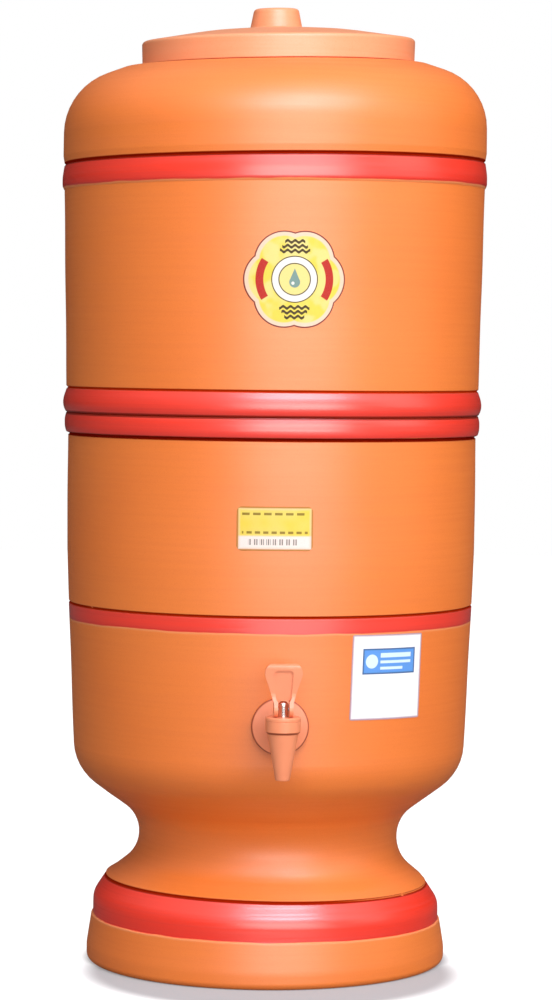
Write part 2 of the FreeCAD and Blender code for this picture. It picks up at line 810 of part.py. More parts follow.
side = slab(side_corners, lever_side, Vector(blank_w, 0, 0))
front = slab(front_corners, lever_front, Vector(0, deep, 0))
paddle = side.common(front)
slot_half = tap_stem_r + slot_side_gap
slot_roof = stem_dome_z - lever_pin_z + tap_stem_r + slot_roof_gap
dish_low = slot_roof - past
dish_high = lever_up + past
face_slope = (lever_lean - lever_face_back) / (lever_up - lever_waist_up)


def dish_floor(up):
    """Where the dish's floor lies behind the pin, at a height over the pin."""
    return lever_face - lever_face_back + dish_depth - face_slope * (up - lever_waist_up)


dish_front_y = foot_front - lever_lean
dish_side = slab(
    [
        (dish_floor(dish_low), dish_low),
        (dish_front_y, dish_low),
        (dish_front_y, dish_high),
        (dish_floor(dish_high), dish_high),
    ],
    lever_side,
    Vector(blank_w, 0, 0),
)
dish_top = lever_up - dish_top_drop
dish_front = slab(
    [
        (-slot_half, dish_low),
        (slot_half, dish_low),
        (dish_low_half, slot_roof + past, dish_round),
        (dish_top_half, dish_top, dish_round),
        (-dish_top_half, dish_top, dish_round),
        (-dish_low_half, slot_roof + past, dish_round),
    ],
    lever_front,
    Vector(0, deep, 0),
)
slot_low = cam_r + past
slot_at = lever_pin - Vector(slot_half, deep / 2, slot_low)
slot = Part.makeBox(2 * slot_half, deep, slot_low + slot_roof, slot_at)
lever_pin_hole = rod(tap_pin_r + pin_clearance, -lever_half, lever_half, lever_pin, ACROSS)
pieces["tap_lever"] = paddle.cut([dish_side.common(dish_front), slot, lever_pin_hole])

# ---------------------------------------------------------------- labels


def label(face_corners, centre_z, turn, radius_at, half):
    """A thin sheet of the given flat outline, wrapped on a wall and turned round the pot."""
    low, high = centre_z - half, centre_z + half
    near, far = label_gap, label_gap + label_t
    sheet = turned([
        (radius_at(low) + near, low),
        (radius_at(low) + far, low),
        (radius_at(high) + far, high),
        (radius_at(high) + near, high),
    ])
    cutter = Part.Face(face_corners).extrude(Vector(0, -foot_r * 2, 0))
    shape = sheet.common(cutter)
    shape.rotate(Vector(0, 0, 0), UP, turn)
    return shape


def upright(centre_z):
    """Places a flat point (x, z) in the plane through the pot's axis."""
    return lambda p: Vector(p.x, 0, centre_z + p.y)


def rounded_box(width, height, radius, centre_z):
    corners = [
        (side * width / 2, end * height / 2, radius)
        for side, end in ((-1, -1), (1, -1), (1, 1), (-1, 1))
    ]
    return rounded(corners, upright(centre_z))


def scalloped(tip_r, notch_r, centre_z):
    """A six-lobed outline with a lobe to each side and a notch at top and bottom."""
    lobes = 6
    place = upright(centre_z)

    def polar(radius, steps):
        angle = 2 * math.pi * steps / lobes
        return place(Vector(radius * math.cos(angle), radius * math.sin(angle), 0))

    arcs = [
        Part.Arc(polar(notch_r, i - 0.5), polar(tip_r, i), polar(notch_r, i + 0.5)).toShape()
        for i in range(lobes)
    ]
    return Part.Wire(arcs)


badge_z = joint_z + badge_up
info_z = joint_z - info_down
rating_z = belly_z + rating_up
badge_outline = scalloped(badge_tip_r, badge_notch_r, badge_z)
info_outline = rounded_box(info_w, info_h, info_round, info_z)
rating_outline = rounded_box(rating_size, rating_size, rating_round, rating_z)
rating_outline.rotate(Vector(0, 0, rating_z), -OUT, rating_lean)
lean = math.radians(rating_lean)
rating_half = rating_size / 2 * (math.cos(lean) + math.sin(lean))
pieces["round_label"] = label(badge_outline, badge_z, badge_turn, upper_wall_radius, badge_tip_r)
pieces["info_label"] = label(info_outline, info_z, info_turn, lower_wall_radius, info_h / 2)
pieces["rating_label"] = label(
    rating_outline, rating_z, rating_turn, lower_wall_radius, rating_half
)

# ---------------------------------------------------------------- files

os.makedirs("parts", exist_ok=True)
for name, shape in pieces.items():
    if shape.ShapeType == "Compound" and len(shape.Solids) == 1:
        shape = shape.Solids[0]
    box = shape.BoundBox
    print(
        f"{name:20s} solids {len(shape.Solids)} valid {shape.isValid()} "
        f"volume {shape.Volume / 1000:9.3f} cm3  z {box.ZMin:7.2f}..{box.ZMax:7.2f} "
        f"y {box.YMin:7.2f}..{box.YMax:7.2f}"
    )
    shape.exportStep(f"parts/{name}.step")
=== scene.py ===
# %% [markdown]
# # Dressing a clay water filter
# The filter is two turned clay chambers, one standing in the other, under a loose lid. Red rings
# are painted round it, a plastic lever tap comes out of the lower chamber, and three paper labels
# are stuck on its front. A ceramic candle and a float valve hide inside.
#
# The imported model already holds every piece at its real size. This lesson loads it and dresses
# it: the clay gets denser meshes with the small unevenness of handwork, and every piece gets its
# finish. Blender's unit is the metre, and the pot stands on the origin with its tap towards -Y.

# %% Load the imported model
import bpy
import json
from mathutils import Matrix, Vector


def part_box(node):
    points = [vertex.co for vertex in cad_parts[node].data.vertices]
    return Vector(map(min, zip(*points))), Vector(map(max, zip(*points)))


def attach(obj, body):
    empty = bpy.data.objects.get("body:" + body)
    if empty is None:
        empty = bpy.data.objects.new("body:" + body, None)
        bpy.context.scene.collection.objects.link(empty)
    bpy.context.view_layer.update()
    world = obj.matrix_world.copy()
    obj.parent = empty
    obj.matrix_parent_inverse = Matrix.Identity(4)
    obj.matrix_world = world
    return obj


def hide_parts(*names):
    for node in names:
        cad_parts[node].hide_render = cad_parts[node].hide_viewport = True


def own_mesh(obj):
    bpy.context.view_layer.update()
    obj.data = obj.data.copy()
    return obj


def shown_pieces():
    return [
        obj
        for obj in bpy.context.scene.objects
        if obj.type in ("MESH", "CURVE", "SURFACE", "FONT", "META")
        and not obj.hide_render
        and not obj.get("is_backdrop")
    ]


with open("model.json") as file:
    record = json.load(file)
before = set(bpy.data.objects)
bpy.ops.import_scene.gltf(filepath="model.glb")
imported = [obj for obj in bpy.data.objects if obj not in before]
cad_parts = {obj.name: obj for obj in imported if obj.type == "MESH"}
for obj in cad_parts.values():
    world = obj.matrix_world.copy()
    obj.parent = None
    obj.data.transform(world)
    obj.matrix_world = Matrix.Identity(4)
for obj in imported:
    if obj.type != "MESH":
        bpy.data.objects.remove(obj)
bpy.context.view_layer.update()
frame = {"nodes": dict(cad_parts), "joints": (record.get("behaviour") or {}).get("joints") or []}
nodes = frame["nodes"]

# %% Modules and the scene's collection
import json
import math

import bmesh
import bpy
from mathutils import Matrix, Vector

scene = bpy.context.scene
scene.view_settings.view_transform = "Standard"
UP = Vector((0, 0, 1))


def round_angles(count):
    """The angles of so many steps round a circle."""
    return [2 * math.pi * step / count for step in range(count)]


def add_to_scene(thing_data, name):
    """A new object that shows the given mesh, lamp or camera."""
    thing = bpy.data.objects.new(name, thing_data)
    scene.collection.objects.link(thing)
    return thing


def facing(place, way):
    """The placing of a thing whose own Z axis points along way."""
    return Matrix.Translation(place) @ way.to_track_quat("Z", "Y").to_matrix().to_4x4()


print("scene's view transform:", scene.view_settings.view_transform)

# %% [markdown]
# ## Camera
# The pot is tall and round. A long lens from two metres away keeps its rings nearly level, and
# the camera stands a little to the tap's left, a little above the middle, and looks slightly
# down. A constraint could aim it, but plain turns let each angle be set on its own: first the
# swing round the pot, then yaw, pitch and roll.

# %% Camera
lens_length = 120.0        # millimetres
sensor_size = 36.0         # millimetres, along the picture's long side
camera_distance = 2.0
camera_height = 0.3676
camera_pitch = math.radians(2.604)
camera_roll = math.radians(0.633)
camera_yaw = math.radians(0.0786)
camera_swing = math.radians(-3.0)

yawed = Matrix.Rotation(-camera_yaw, 4, "Z")
pitched = Matrix.Rotation(math.pi / 2 - camera_pitch, 4, "X")
rolled = Matrix.Rotation(camera_roll, 4, "Z")
camera_place = Matrix.Translation((0, -camera_distance, camera_height))
camera_data = bpy.data.cameras.new("camera")
camera_data.lens = lens_length
camera_data.sensor_width = sensor_size
camera = add_to_scene(camera_data, "camera")
swung_place = Matrix.Rotation(camera_swing, 4, "Z") @ camera_place
camera.matrix_world = swung_place @ yawed @ pitched @ rolled
scene.camera = camera
print("camera at", [round(value, 4) for value in camera.matrix_world.translation])

# %% [markdown]
# ## A short way to write materials
# Every finish here is worked out from the place on the piece, so a material is a small sum done
# by nodes. Writing each node and link by hand takes many lines. With these helpers a sum is
# written with plain signs, and a recipe gives the few patterns that fired clay, paint, paper and
# plastic need. It keeps one colour, and others are laid over that one after another. A value that
# is the same all over goes straight on the shader's own socket.

# %% Colours and sums
def shade(code):
    """A linear colour from its everyday six-digit code."""
    channels = [int(code[start:start + 2], 16) / 255 for start in (1, 3, 5)]
    linear = [((c + 0.055) / 1.055) ** 2.4 if c > 0.04045 else c / 12.92 for c in channels]
    return (*linear, 1.0)


class Value:
    """A number that nodes work out. Each sign adds one more node."""

    def __init__(self, recipe, socket):
        self.recipe = recipe
        self.socket = socket

    def __add__(self, other):
        return self.recipe.math("ADD", self, other)

    def __sub__(self, other):
        return self.recipe.math("SUBTRACT", self, other)

    def __rsub__(self, other):
        return self.recipe.math("SUBTRACT", other, self)

    def __mul__(self, other):
        return self.recipe.math("MULTIPLY", self, other)

    def __pow__(self, other):
        return self.recipe.math("POWER", self, other)

    def __abs__(self):
        return self.recipe.math("ABSOLUTE", self)


print("middle grey as a linear colour:", [round(value, 3) for value in shade("#808080")])

# %% Sums in a node tree
class NodeTree:
    """The node tree of a material or a world, with short ways to write sums in it."""

    def __init__(self, owner):
        owner.use_nodes = True
        self.owner = owner
        self.tree = owner.node_tree
        self.tree.nodes.clear()

    def add(self, kind, *values, **settings):
        """A shader node with its settings, and values for the first sockets that are in use."""
        node = self.tree.nodes.new("ShaderNode" + kind)
        for name, value in settings.items():
            setattr(node, name, value)
        for value, socket in zip(values, [socket for socket in node.inputs if socket.enabled]):
            self.join(value, socket)
        return node

    def join(self, value, socket):
        """Links a node's output to the socket, or sets it to a plain value or a colour's code."""
        if isinstance(value, Value):
            value = value.socket
        if isinstance(value, str):
            value = shade(value)
        if isinstance(value, bpy.types.NodeSocket):
            self.tree.links.new(value, socket)
        else:
            socket.default_value = value

    def math(self, operation, *values):
        return Value(self, self.add("Math", *values, operation=operation).outputs[0])

    def most(self, first, *others):
        """The largest of some values. Of masks, it is 1 inside any of them."""
        for other in others:
            first = self.math("MAXIMUM", first, other)
        return first

    def hypot(self, first, second):
        """The straight distance over two steps at right angles."""
        return self.math("SQRT", first ** 2 + second ** 2)

    def fade(self, value, start, end, first=0.0, last=1.0):
        """Goes smoothly from first to last while value goes from start to end."""
        node = self.add("MapRange", value, start, end, first, last, interpolation_type="SMOOTHSTEP")
        return Value(self, node.outputs[0])

    def parts(self, vector):
        """The three numbers of a vector."""
        node = self.add("SeparateXYZ", vector)
        return [Value(self, node.outputs[i]) for i in range(3)]

    def show(self, surface):
        world = isinstance(self.owner, bpy.types.World)
        self.add("OutputWorld" if world else "OutputMaterial", surface)


print("sums ready")

# %% Recipe of a finish
class Recipe(NodeTree):
    """A node tree with patterns, and one colour that others are laid over."""

    def __init__(self, owner, colour=None):
        super().__init__(owner)
        self.colour = colour

    def blend(self, share, first, second):
        """Colour first, with a share of colour second over it."""
        node = self.add("Mix", share, first, second, data_type="RGBA")
        return next(socket for socket in node.outputs if socket.enabled)

    def lay(self, colour, share):
        """Lays a share of another colour over the recipe's colour."""
        self.colour = self.blend(share, self.colour, colour)

    def place(self):
        """The point on the piece, in the pot's own frame."""
        return self.add("TexCoord").outputs["Object"]

    def clouds(self, scale, detail=3.0, squeeze=(1, 1, 1)):
        """Clouds, mostly between 0.3 and 0.7, scale of them to the metre, times squeeze on each axis."""
        mapping = self.add("Mapping", self.place(), (0, 0, 0), (0, 0, 0), squeeze)
        return Value(self, self.add("TexNoise", mapping.outputs[0], scale, detail).outputs["Fac"])

    def grains(self, scale):
        """Distance to the nearest of many scattered grains, scale of them to the metre."""
        return Value(self, self.add("TexVoronoi", self.place(), scale).outputs["Distance"])

    def rays(self):
        """Masks of the rays that gloss sends on, and of those that end in the camera."""
        ray = self.add("LightPath").outputs
        return ray["Is Glossy Ray"], self.most(ray["Is Camera Ray"], ray["Is Transmission Ray"])

    def finish(self, roughness, relief, depth, **others):
        """Ends a material in one shader. Its other sockets are named with _ for a space."""
        bump = self.add("Bump")
        bump.inputs["Distance"].default_value = depth
        self.join(relief, bump.inputs["Height"])
        shader = self.add("BsdfPrincipled", self.colour)
        others.update(Roughness=roughness, Normal=bump.outputs[0])
        for name, value in others.items():
            self.join(value, shader.inputs[name.replace("_", " ")])
        self.show(shader.outputs[0])
        return self.owner


def new_recipe(name, colour=None):
    return Recipe(bpy.data.materials.new(name), colour)


print("recipes ready")

# %% [markdown]
# ## Studio light
# Fired clay is matt to satin, so it shows a lamp as one wide soft glow. A sky alone would light it
# too evenly, so rectangular lamps put each glow where it belongs. A long softbox high in front of
# the pot, a little to its right, lights the shoulder and the beads. It is faintly cool, like
# daylight from a window. A second one stands under it for the straight walls, and a third fills
# the right side. The world fills the shadows weakly. To the camera the world is plain white, and
# shiny metal sees a pale ceiling.

# %% Lamps
pot_middle = Vector((0, 0, 0.29))
window_tint = (1.0, 0.96, 1.16)


def softbox(name, azimuth, elevation, distance, width, height, power, tint=(1, 1, 1)):
    """A rectangular lamp that faces the pot. Azimuth 0 is in front, positive to the right."""
    lamp = bpy.data.lights.new(name, "AREA")
    lamp.shape = "RECTANGLE"
    lamp.size = width
    lamp.size_y = height
    lamp.energy = power
    lamp.color = tint
    turn, lift = math.radians(azimuth), math.radians(elevation)
    way = Vector((math.sin(turn) * math.cos(lift), -math.cos(turn) * math.cos(lift), math.sin(lift)))
    add_to_scene(lamp, name).matrix_world = facing(pot_middle + way * distance, way)


softbox("high_softbox", azimuth=13, elevation=46, distance=1.9, width=1.35, height=0.7, power=26,
        tint=window_tint)
softbox("low_softbox", azimuth=9, elevation=6, distance=1.9, width=1.75, height=0.88, power=18)
softbox("side_softbox", azimuth=72, elevation=20, distance=2.2, width=1.2, height=1.5, power=4)

# %% World
fill_strength = 0.5
gloss_strength = 0.02
ceiling_strength = 0.7
ceiling_low, ceiling_high = 0.35, 0.9      # slope of a ray where the ceiling starts and is full

studio = bpy.data.worlds.new("studio")
scene.world = studio
air = Recipe(studio)
in_gloss, seen = air.rays()
slope = air.parts(air.place())[2]
ceiling = air.fade(slope, ceiling_low, ceiling_high, gloss_strength, ceiling_strength)
strength = air.fade(in_gloss, 0.0, 1.0, fill_strength, ceiling)
background = air.add("Background", "#FFFFFF", air.fade(seen, 0.0, 1.0, strength, 1.0))
air.show(background.outputs[0])
print("world fill:", fill_strength)

# %% [markdown]
# ## Floor
# A white sheet curved up behind the pot would take very strong lamps to turn white. This floor is
# a wide matt disc with a glow of its own. Close to the foot, and a little further in front of it,
# the glow is weak, so the floor there stays grey even where the lamps reach it: a painted shadow,
# which the real shadow at the foot darkens further. Further out the camera also sees the glow,
# which grows to full white, and no horizon shows.

# %% Floor disc
floor_radius = 4.0
floor_mesh = bpy.data.meshes.new("floor")
disc = bmesh.new()
bmesh.ops.create_circle(disc, cap_ends=True, segments=96, radius=floor_radius)
disc.to_mesh(floor_mesh)
disc.free()
floor = add_to_scene(floor_mesh, "floor")
print("floor radius:", floor_radius, "m")

# %% Floor finish
floor_tone = 0.3
# The glow inside the radii below, round the foot and round a point in front of it, is weak, which paints a
# grey shadow on the floor.
painted_shadow_glow = 0.25
gloss_share = 0.05         # how much of the floor glossy pieces see
shadow_radius, white_radius = 0.104, 0.115
front_centre_y = -0.046
front_shadow_radius, front_white_radius = 0.1, 0.119

paper = new_recipe("white_floor")
x, y, _ = paper.parts(paper.place())
in_gloss, seen = paper.rays()
matt = paper.add("BsdfDiffuse", paper.fade(in_gloss, 0.0, 1.0, floor_tone, gloss_share))
seen = paper.math("MULTIPLY_ADD", in_gloss, gloss_share, seen)
from_axis = paper.fade(paper.hypot(x, y), shadow_radius, white_radius, painted_shadow_glow, 1.0)
from_front = paper.fade(paper.hypot(x, y - front_centre_y), front_shadow_radius, front_white_radius,
                        painted_shadow_glow, 1.0)
growth = paper.math("MINIMUM", from_axis, from_front)
glow = paper.add("Emission", "#FFFFFF", seen * growth)
both = paper.add("AddShader", matt.outputs[0], glow.outputs[0])
paper.show(both.outputs[0])
floor_mesh.materials.append(paper.owner)
floor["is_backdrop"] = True
print("glow at the foot:", painted_shadow_glow)

# %% [markdown]
# ## The clay's outlines
# A potter turns a chamber on a wheel, so its whole shape is one line swept round the axis. A
# curve drawn by eye could give that line, but corners and roundings can be measured on a real pot
# and changed one by one. So the line is a few corners, each with the radius of its rounding, from
# the inside of the foot up the outside and down the inside. Arcs are worked out where two
# straight runs meet.

# %% Sizes of the clay
foot_radius = 0.1074
base_step_z = 0.027        # step under the painted base band
base_groove_z = 0.049
neck_z = 0.0766            # where the two flares of the neck would meet
belly_z = 0.1161           # belly's corner
mid_groove_z = 0.2153
bend_z = 0.2469            # the wall turns upright here
lower_groove_z = 0.316
joint_z = 0.3285
upper_groove_z = 0.3433
band_low_z = 0.4619
band_groove_z = 0.4775
shoulder_z = 0.5234
rim_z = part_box("upper_chamber")[1].z
knob_top_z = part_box("lid")[1].z
tap_axis_z = 0.1536
water_floor_z = 0.1119
upper_floor_z = 0.3325
belly_radius = 0.1166
wall_radius = 0.122
upper_foot_radius = 0.1232
upper_top_radius = 0.1254
shoulder_radius = 0.1261
mouth_radius = 0.074
wall = 0.009
line_half = 0.00095        # half the width of a turning line
line_deep = 0.0011
line_root = 0.0004         # rounding at the bottom of a turning line
line_edge = 0.0003         # rounding of its edges
worn_edge = 0.0006         # rounding of an outer edge beside it
inner_edge = 0.0015        # rounding of the edges inside
print("joint at", joint_z, "m, rim at", round(rim_z, 4), "m")

# %% Wall radius at a height
def wall_at(z):
    """Outer radius of the pot's straight walls at a height."""
    if z < upper_groove_z:
        rise = min(1.0, (z - belly_z) / (bend_z - belly_z))
        return belly_radius + (wall_radius - belly_radius) * rise
    rise = (z - upper_groove_z) / (band_low_z - upper_groove_z)
    return upper_foot_radius + (upper_top_radius - upper_foot_radius) * rise


print("wall at the tap:", round(wall_at(tap_axis_z), 5), "m")

# %% Points on a straight run
run_step = 0.004
edge_support = 0.0004      # rows close to an arc keep the straight run's shading straight


def run_points(start, end):
    """Points on a straight run, close together at its ends and run_step apart between them."""
    length = (end - start).length
    if length < 4 * edge_support:
        return [start, end]
    count = max(1, round((length - 2 * edge_support) / run_step))
    inner = [edge_support + (length - 2 * edge_support) * i / count for i in range(count + 1)]
    return [start] + [start.lerp(end, far / length) for far in inner] + [end]


test_run = run_points(Vector((0, 0)), Vector((0.04, 0)))
print("points on a run of 40 mm:", len(test_run))

# %% Rounding a line of corners
arc_turn = math.radians(8)
trim_limit = 0.98          # share of a run that the two arcs at its ends may take


def rounded_line(corners, closed=True):
    """Points along a line of (radius, height, rounding) corners, with an arc at each rounding."""
    flat = [Vector(corner[:2]) for corner in corners]
    count = len(flat)
    steps = [flat[(i + 1) % count] - flat[i] for i in range(count)]
    ways = [step.normalized() for step in steps]
    turns = [ways[i - 1].angle_signed(ways[i], 0.0) for i in range(count)]
    trims = [(corner[2] if len(corner) > 2 else 0.0) * math.tan(abs(turn) / 2)
             for corner, turn in zip(corners, turns)]
    for i in range(count):
        after = (i + 1) % count
        if trims[i] + trims[after] > steps[i].length:
            share = trim_limit * steps[i].length / (trims[i] + trims[after])
            trims[i] *= share
            trims[after] *= share
    line = []
    for i in range(count):
        start = flat[i] - ways[i - 1] * trims[i]
        line += run_points(line[-1], start)[1:] if line else [start]
        if trims[i] > 1e-7:
            radius = trims[i] / math.tan(abs(turns[i]) / 2)
            inward = (ways[i] - ways[i - 1]).normalized()
            centre = flat[i] + inward * radius / math.cos(turns[i] / 2)
            bits = max(2, round(abs(turns[i]) / arc_turn))
            spoke = start - centre
            line += [centre + Matrix.Rotation(-turns[i] * k / bits, 2) @ spoke for k in range(1, bits + 1)]
    if closed:
        line += run_points(line[-1], line[0])[1:-1]
    return line


test_line = rounded_line([(0, 0), (0.1, 0, 0.02), (0.1, 0.1)], closed=False)
print("test line:", len(test_line), "points, ends at", tuple(round(v, 4) for v in test_line[-1]))

# %% Corners of a turning line
def turning_line(z, below, root, above, edge_below=line_edge, edge_above=line_edge):
    """A line cut with a pointed tool: the radius of its lower edge, root and upper edge."""
    return [(below, z - line_half, edge_below), (root, z, line_root), (above, z + line_half, edge_above)]


print("turning line:", round(line_half * 2000, 2), "mm wide")

# %% Corners of the lower chamber
lower_bead_radius = 0.1242
joint_radius = 0.1234
mid_radius = wall_at(mid_groove_z)
bead_low_z = lower_groove_z + line_half
seam_bevel = 0.0027
water_floor_thick = 0.012
hollow_round = 0.012

foot_hollow = [
    (0, water_floor_z - water_floor_thick),
    (0.0684, water_floor_z - water_floor_thick, hollow_round),
    (0.0684, base_groove_z + 0.0124, hollow_round),
    (foot_radius - 0.0155, base_groove_z - 0.0076, hollow_round),
    (foot_radius - 0.0145, 0, inner_edge),
]
lower_outside = [
    (foot_radius, 0, 0.004),
    (foot_radius, 0.0095, 0.02),
    (0.1047, base_step_z - 0.0004, worn_edge),
    (0.1037, base_step_z, 0.0004),
    (0.1037, base_step_z + 0.0114, 0.012),
    *turning_line(base_groove_z, 0.0973, 0.0961, 0.0964, worn_edge, worn_edge),
    (0.0632, neck_z, 0.0226),
    (belly_radius, belly_z, 0.0294),
    *turning_line(mid_groove_z, mid_radius, mid_radius - line_deep, mid_radius),
    (wall_radius, bend_z, 0.3),
    *turning_line(lower_groove_z, wall_radius, wall_radius - line_deep, joint_radius - 0.0002,
                  edge_above=worn_edge),
    (lower_bead_radius - 0.0001, bead_low_z + seam_bevel, 0.009),
    (lower_bead_radius, joint_z - seam_bevel - 0.001, 0.009),
    (joint_radius - 0.0001, joint_z - 0.0004, worn_edge),
    (joint_radius - 0.0007, joint_z, line_edge),
]
lower_inside = [
    (wall_radius - wall, joint_z, inner_edge),
    (wall_radius - wall, bend_z, 0.3),
    (belly_radius - wall, water_floor_z, 0.0184),
    (0, water_floor_z),
]
lower_line = rounded_line(foot_hollow + lower_outside + lower_inside, closed=False)
print("lower chamber's line:", len(lower_line), "points")

# %% Corners of the upper chamber
upper_bead_radius = 0.1252
band_radius = upper_top_radius + 0.0012
spigot_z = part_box("upper_chamber")[0].z
spigot_radius = wall_radius - wall - 0.0014
stem_hole_radius = 0.006

upper_line = rounded_line([
    (joint_radius - 0.0007, joint_z, line_edge),
    (joint_radius + 0.0001, joint_z + 0.0004, worn_edge),
    (upper_bead_radius + 0.0001, joint_z + seam_bevel + 0.001, 0.01),
    (upper_bead_radius - 0.0003, upper_groove_z - 0.006, 0.016),
    (upper_bead_radius - 0.0019, upper_groove_z - line_half - 0.0006, 0.002),
    *turning_line(upper_groove_z, upper_foot_radius - 0.0001, upper_foot_radius - line_deep,
                  upper_foot_radius),
    (upper_top_radius, band_low_z, worn_edge),
    (band_radius, band_low_z + 0.0016, 0.008),
    (band_radius, (band_low_z + band_groove_z) / 2, 0.024),
    *turning_line(band_groove_z, band_radius - 0.0011, upper_top_radius - line_deep,
                  upper_top_radius, edge_below=worn_edge),
    (shoulder_radius, band_groove_z + 0.005, 0.005),
    (shoulder_radius, shoulder_z, 0.0368),
    (0.09, rim_z, 0.004),
    (mouth_radius, rim_z, inner_edge),
    (mouth_radius, rim_z - 0.0094, inner_edge),
    (shoulder_radius - wall, shoulder_z - 0.0104, 0.0278),
    (upper_foot_radius - wall, upper_floor_z, 0.014),
    (stem_hole_radius, upper_floor_z),
    (stem_hole_radius, spigot_z),
    (spigot_radius, spigot_z, inner_edge),
    (spigot_radius, joint_z),
])
print("upper chamber's line:", len(upper_line), "points")

# %% Corners of the lid
lid_radius = 0.0812
lid_thick = 0.009
lid_edge_z = rim_z + 0.0147
lid_top_z = lid_edge_z + 0.0075
lip_radius = mouth_radius - 0.0018
lip_inner_radius = lip_radius - 0.0085
lip_low_z = rim_z - 0.008

lid_line = rounded_line([
    (0, lid_top_z - lid_thick),
    (lip_inner_radius, lid_edge_z - lid_thick, 0.00425),
    (lip_inner_radius, lip_low_z, inner_edge),
    (lip_radius, lip_low_z, inner_edge),
    (lip_radius, rim_z),
    (lid_radius - 0.0004, rim_z, 0.0012),
    (lid_radius, lid_edge_z, 0.0022),
    (0.045, lid_top_z - 0.0018, 0.15),
    (0.0156, lid_top_z, 0.0015),
    (0.0132, knob_top_z, 0.0025),
    (0, knob_top_z),
], closed=False)
print("lid's line:", len(lid_line), "points")

# %% [markdown]
# ## Turning the clay
# The line is swept round the axis into a mesh. A Screw modifier could do that, but its sweep is
# perfectly true, and real turned clay never is. The wall is a little oval, swells a tenth of a
# millimetre, and keeps the potter's finger spiral inside. The soft shoulder sags a little to the
# front and to the left while it dries, the foot's flare sags a little to the right, and the lid,
# which is cut to fit the mouth, sits as the mouth does. These shifts are part of the mesh. They
# fade out round the tap, where its gaskets must seat.

# %% Wall out of true
seat_radius, free_radius = 0.02, 0.05      # the wall is true inside the first, round the tap
oval_height, lobe_height, swell_height = 0.00022, 0.00012, 0.00009
foot_drift = -0.0011       # the foot stands a little to the left of the axis


def ease(value, start, end):
    """Goes smoothly from 0 to 1 while value goes from start to end."""
    share = min(1.0, max(0.0, (value - start) / (end - start)))
    return share * share * (3 - 2 * share)


def away_from_tap(angle, z):
    """0 where the tap's gaskets press on the wall, 1 further away."""
    if math.sin(angle) > 0:
        return 1.0
    return ease(math.hypot(wall_radius * math.cos(angle), z - tap_axis_z), seat_radius, free_radius)


def outer_shift(angle, z):
    """How far the outer wall stands out of true, in metres."""
    oval = oval_height * math.sin(2 * angle + 0.6)
    lobes = lobe_height * math.sin(3 * angle + 9 * z + 2.0)
    swell = swell_height * math.sin(95 * z + 1.3 * math.sin(angle))
    drift = foot_drift * math.cos(angle) * ease(z, neck_z + 0.03, neck_z - 0.02)
    return (oval + lobes + swell) * away_from_tap(angle, z) + drift


print("shift at the joint's front:", round(outer_shift(-math.pi / 2, joint_z) * 1000, 3), "mm")

# %% Finger spiral and sag
spiral_depth, spiral_pitch, spiral_end = 0.00035, 0.011, 0.02
sag_right = 0.023          # rise towards the right, per metre
sag_back = 0.027           # rise towards the back, per metre
sag_low_z, sag_high_z = 0.4, 0.52
front_sag_low_z = 0.485
foot_sag = 0.018           # drop of the base groove towards the right, per metre
foot_low_z, foot_groove_z, foot_high_z = 0.0, 0.05, 0.105


def finger_spiral(angle, z, low, high):
    """Shallow grooves that the potter's fingers leave inside, between two heights."""
    ends = ease(z, low, low + spiral_end) * ease(z, high, high - spiral_end)
    return spiral_depth * ends * math.sin(2 * math.pi * z / spiral_pitch + angle) * away_from_tap(angle, z)


def sag(x, y, z):
    """How far a point of the soft clay has risen, or sunk where negative."""
    shoulder = sag_right * x * ease(z, sag_low_z, sag_high_z)
    shoulder += sag_back * y * ease(z, front_sag_low_z, sag_high_z)
    foot = foot_sag * x * ease(z, foot_low_z, foot_groove_z) * ease(z, foot_high_z, foot_groove_z)
    return shoulder - foot


print("sag at the shoulder's right:", round(sag(shoulder_radius, 0, shoulder_z) * 1000, 2), "mm")

# %% Skin over rows of points
crease = math.radians(40)


def skin(name, rows, closed=False, capped=False):
    """A smooth mesh over rows of points that go round a piece. A row of one point ends the skin,
    closed joins the last row to the first, and capped fills both end rows with flat faces."""
    verts = [point for row in rows for point in row]
    starts = [sum(map(len, rows[:i])) for i in range(len(rows))]
    around = max(map(len, rows))
    pairs = list(zip(range(len(rows)), range(1, len(rows)))) + [(-1, 0)] * closed
    faces = []
    for a, b in pairs:
        for i in range(around):
            after = (i + 1) % around
            ring = [starts[a] + i % len(rows[a]), starts[a] + after % len(rows[a]),
                    starts[b] + after % len(rows[b]), starts[b] + i % len(rows[b])]
            faces.append(list(dict.fromkeys(ring)))
    if capped:
        faces += [list(range(around))[::-1], list(range(starts[-1], len(verts)))]
    mesh = bpy.data.meshes.new(name)
    mesh.from_pydata(verts, [], faces)
    mesh.polygons.foreach_set("use_smooth", [True] * len(faces))
    if not capped:
        mesh.set_sharp_from_angle(angle=crease)
    print(name, "-", len(verts), "points,", len(faces), "faces")
    return add_to_scene(mesh, name)


print("edges over", round(math.degrees(crease)), "degrees stay sharp")

# %% Sweep a line round the axis
sides = 192


def turned_piece(name, line, shift, closed=False):
    """A line swept round the axis. shift(radius, angle, z) moves a point outwards, and every
    point sags with the clay around it."""
    rows = []
    for radius, z in line:
        if radius < 1e-6:
            rows.append([(0, 0, z)])
            continue
        row = []
        for angle in round_angles(sides):
            reach = radius + shift(radius, angle, z)
            x, y = reach * math.cos(angle), reach * math.sin(angle)
            row.append((x, y, z + sag(x, y, z)))
        rows.append(row)
    return skin(name, rows, closed)


print("sides:", sides)

# %% Turn the two chambers
hollow_reach = 0.0935      # clay nearer to the axis, under the water floor, is the foot's hollow
upper_outer_reach, upper_inner_reach = 0.118, 0.1


def lower_shift(radius, angle, z):
    """Out of true outside, spiralled inside, true at the floor ring, the hollow and the joint."""
    if z > water_floor_z and radius < wall_at(z) - wall / 2:
        return finger_spiral(angle, z, 0.135, 0.305)
    if radius < hollow_reach and z < water_floor_z:
        return 0.0
    return outer_shift(angle, z)


